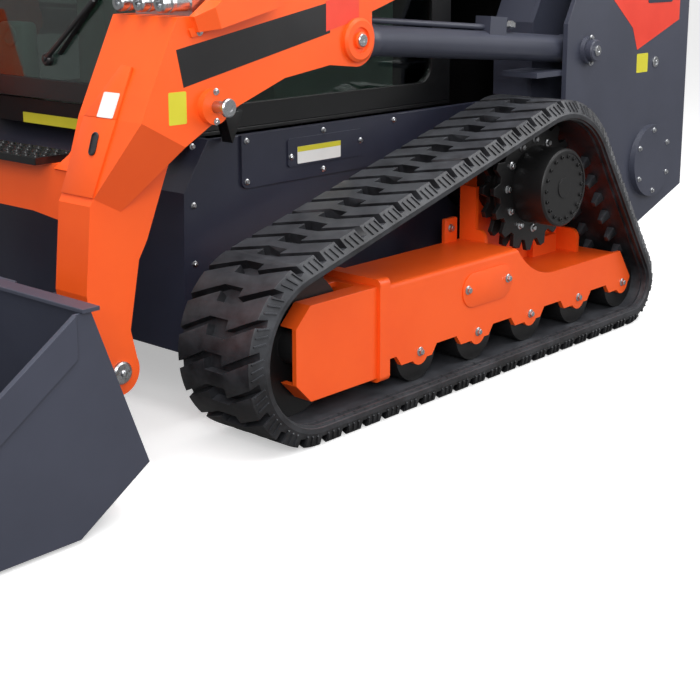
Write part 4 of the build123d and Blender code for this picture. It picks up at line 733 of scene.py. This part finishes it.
# Cab inside: column with a ring, lever boots and grips
column = block((322, -360, 845), (392, -210, 1125), (0.8, 0.9), 14, 3)
cup = turned([(44, 0), (44, 10), (38, 14), (30, 14), (28, 2), (14, 1)])
cup.matrix_world = facing((382, -286, 1080), (1, 0, 0), 0, 0.8)
settle(joined([column, cup]), "cab_column", console_plastic, "chassis")
boot = turned([(52, 0), (52, 6), (44, 10), (46, 18), (38, 24), (40, 32), (32, 38), (34, 46), (25, 52),
               (27, 60), (18, 66)])
lever_grip = turned([(17, 0), (22, 12), (22, 40), (26, 60), (28, 92), (25, 112), (14, 122), (5, 124)])
grip_rise = 62
lever_x, lever_z = lever_place
lever_ys = (-console_y, console_y)
settle(copies(boot, [facing((lever_x, y, lever_z), (0, 0, 1)) for y in lever_ys]),
       "lever_boots", rubber, "chassis")
settle(copies(lever_grip, [facing((lever_x, y, lever_z + grip_rise), (0, 0, 1)) for y in lever_ys]),
       "lever_grips", black_plastic, "chassis")

# Rear: hood louvres, exhaust cap, fuel cap, lamps, radiator core, door latch
louvre_lean = 0.3
louvre_pitch = 56
louvre = block((-18, -290, -2), (18, 290, 6), (0.7, 0.98), 1.5)
louvre_axes = ((cos(louvre_lean), 0, -sin(louvre_lean)), (0, 1, 0), (sin(louvre_lean), 0, cos(louvre_lean)))
hood_x, hood_z, hood_slope = -1100, 1446, 0.0382
louvre_places = [axes((x, 0, hood_z + hood_slope * (x - hood_x)), *louvre_axes)
                 for x in range(-1640, -1150, louvre_pitch)]
settle(copies(louvre, louvre_places), "hood_louvres", black_enamel, "engine_hood")
rain_cap = turned([(44, 0), (44, 4), (38, 7), (6, 9), (5, 9)])
rain_cap.matrix_world = facing((-1704, -cap_y, 1576), (-0.35, 0, 1))
cap_hinge = block((-1752, -640, 1562), (-1734, -615, 1592), None, 3)
settle(joined([rain_cap, cap_hinge]), "exhaust_cap", zinc_plate, "chassis")
fuel_cap = turned([(46, 0), (46, 8), (40, 10), (40, 30), (36, 36), (14, 36), (12, 44), (10, 45)], 20)
fuel_cap.matrix_world = facing((-1480, cap_y, 1240), (0, 0, 1))
settle(fuel_cap, "fuel_cap", black_plastic, "chassis")
rear_lamp_x, rear_lamp_y, rear_lamp_z = -1884, 780, 1180
rear_lamp = plate(rectangle(-50, -75, 50, 75), 18, 4, 14)
rear_lamp_places = [axes((rear_lamp_x, y, rear_lamp_z), *astern) for y in (-rear_lamp_y, rear_lamp_y)]
settle(copies(rear_lamp, rear_lamp_places),
       "rear_lamps", red_plastic, "chassis")
core_x, core_z, core_thickness, fin_pitch = -1776, 890, 20, 20
core = plate(rectangle(-470, -320, 470, 320), core_thickness, 3, 12)
core.matrix_world = axes((core_x, 0, core_z), *astern)
fin = block((-440, -3, -1), (440, 3, 7), (1, 0.5))
fin_places = [axes((core_x - core_thickness, 0, z), *astern) for z in range(590, 1200, fin_pitch)]
fins = copies(fin, fin_places)
settle(joined([core, fins]), "radiator_core", black_cast, "chassis")
latch_dish = plate(rectangle(-60, -45, 60, 45), 6, 1.5, 10)
paddle = block((-40, -16, 4), (44, 16, 16), (0.9, 0.75), 3)
latch = joined([latch_dish, paddle])
latch.matrix_world = axes((-1850, 430, 900), *astern)
settle(latch, "rear_door_latch", black_plastic, "rear_door")


# Seat: two foam cushions, blown up by cloth pressure under their covers

def swell(piece, cap_mm):
    """Blows a cushion up by cloth pressure, and caps how far each point may move."""
    before = [corner.co.copy() for corner in piece.data.vertices]
    cover = piece.modifiers.new("cover", "CLOTH")
    cover.settings.use_pressure = True
    cover.settings.uniform_pressure_force = 4.0
    cover.settings.effector_weights.gravity = 0.0
    cover.point_cache.frame_end = 20
    for step in range(1, 21):
        bpy.context.scene.frame_set(step)
    bpy.ops.object.modifier_apply(modifier=cover.name)
    bpy.context.scene.frame_set(1)
    for corner, start in zip(piece.data.vertices, before):
        shift = corner.co - start
        if shift.length > cap_mm * MM:
            corner.co = start + shift.normalized() * cap_mm * MM


cushion_grain = 8
swell_cap = 14
seam_ys = (-105, 105)
seam_half_width, seam_depth, seam_reach = 5, 9, 20


def cushion(name, low, high, stand_up=None, pivot=None):
    """Foam cushion: a rounded block, swollen, with two sewn channels drawn into its face, and stood up
    where it is a back."""
    piece = block(low, high, (0.96, 0.96), 26, 3)
    applied(piece, "REMESH", mode="VOXEL", voxel_size=cushion_grain * MM)
    swell(piece, swell_cap)
    for seam in seam_ys:
        choose(piece, "VERT", lambda place, normal:
               abs(place.y - seam * MM) < seam_half_width * MM and normal.z > 0.6)
        bpy.ops.transform.translate(value=(0, 0, -seam_depth * MM), use_proportional_edit=True,
                                    proportional_size=seam_reach * MM)
        done()
    applied(piece, "SUBSURF", levels=1, render_levels=1)
    if stand_up:
        choose(piece, "VERT", lambda place, normal: True)
        bpy.ops.transform.rotate(value=stand_up, orient_axis="Y", center_override=Vector(pivot) * MM)
        done()
    settle(piece, name, seat_vinyl, "chassis", 60)
    return piece


seat_base = cushion("seat_base_cushion", (-640, -212, 1144), (-186, 212, 1218))
cushion("seat_back_cushion", (-1165, -205, 1174), (-615, 205, 1248), radians(-78.8), (-615, 0, 1190))
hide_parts("seat")

for master in masters:
    bpy.data.objects.remove(master)

# Broken edges on the CAD parts, wider on the tracks and their rollers
for name, node in nodes.items():
    if name in ("cab_windows", "door_glass", "lift_rods", "tilt_rods", "seat"):
        continue
    weld = node.modifiers.new("weld", "WELD")
    weld.merge_threshold = 0.02 * MM
    edges = node.modifiers.new("edges", "BEVEL")
    edges.width = (3.0 if name.startswith("track_") and "frame" not in name else 2.0) * MM
    edges.segments = 2
    edges.limit_method, edges.angle_limit = "ANGLE", radians(40)


# Stage: floor, light and camera

def make_floor():
    """A large pale floor: white to the camera, and darker to the machine, so that little light comes up
    from it."""
    begin()
    bpy.ops.mesh.primitive_plane_add(size=60, location=(0, 0, -1 * MM))
    floor = bpy.context.object
    floor.name = "studio_floor"
    material, tree, shader, _ = new_material("studio_paper")
    seen = put(tree, "ShaderNodeLightPath").outputs["Is Camera Ray"]
    paper = put(tree, "ShaderNodeMapRange", Value=seen, To_Min=0.22, To_Max=0.9)
    tree.links.new(paper.outputs["Result"], shader.inputs["Base Color"])
    glow = put(tree, "ShaderNodeMapRange", Value=seen, To_Min=0.0, To_Max=0.42)
    tree.links.new(glow.outputs["Result"], shader.inputs["Emission Strength"])
    shader.inputs["Emission Color"].default_value = linear("FFFFFF")
    shader.inputs["Roughness"].default_value = 0.9
    floor.data.materials.append(material)


def area_light(name, place, target, size, watts):
    lamp = bpy.data.lights.new(name, "AREA")
    lamp.shape = "RECTANGLE"
    lamp.size, lamp.size_y = size
    lamp.energy = watts
    holder = bpy.data.objects.new(name, lamp)
    holder.location = place
    holder.rotation_euler = (Vector(target) - Vector(place)).to_track_quat("-Z", "Y").to_euler()
    bpy.context.collection.objects.link(holder)


def make_world():
    """Even pale surroundings: softer on the machine than the white that the camera sees."""
    world = bpy.data.worlds.new("studio_air")
    bpy.context.scene.world = world
    world.use_nodes = True
    tree = world.node_tree
    background = tree.nodes["Background"]
    background.inputs["Color"].default_value = linear("FFFFFF")
    seen = put(tree, "ShaderNodeLightPath").outputs["Is Camera Ray"]
    strength = put(tree, "ShaderNodeMapRange", Value=seen, To_Min=0.46, To_Max=0.95)
    tree.links.new(strength.outputs["Result"], background.inputs["Strength"])


def make_camera(place, heading, pitch):
    """Camera where the photograph was taken from, looking down along a heading."""
    lens = bpy.data.cameras.new("photo_camera")
    lens.lens, lens.sensor_width, lens.shift_y = 70.0, 36.0, -0.145
    camera = bpy.data.objects.new("photo_camera", lens)
    camera.location = place
    aim = Vector((-cos(heading) * cos(pitch), -sin(heading) * cos(pitch), -sin(pitch)))
    camera.rotation_euler = aim.to_track_quat("-Z", "Y").to_euler()
    bpy.context.collection.objects.link(camera)
    bpy.context.scene.camera = camera


make_floor()
make_world()
area_light("overhead_softbox", (0.2, 1.2, 5.2), (0, 0.2, 0.8), (6.0, 4.0), 300)
area_light("front_left_softbox", (4.5, 5.0, 3.6), (0, 0.5, 0.7), (3.0, 3.0), 245)
area_light("rear_left_softbox", (-4.0, 4.5, 3.0), (-0.8, 0.6, 0.7), (3.0, 3.0), 105)
make_camera((2.91, 3.42, 1.362), radians(41.9), radians(12.57))
bpy.context.scene.view_settings.view_transform = "Standard"
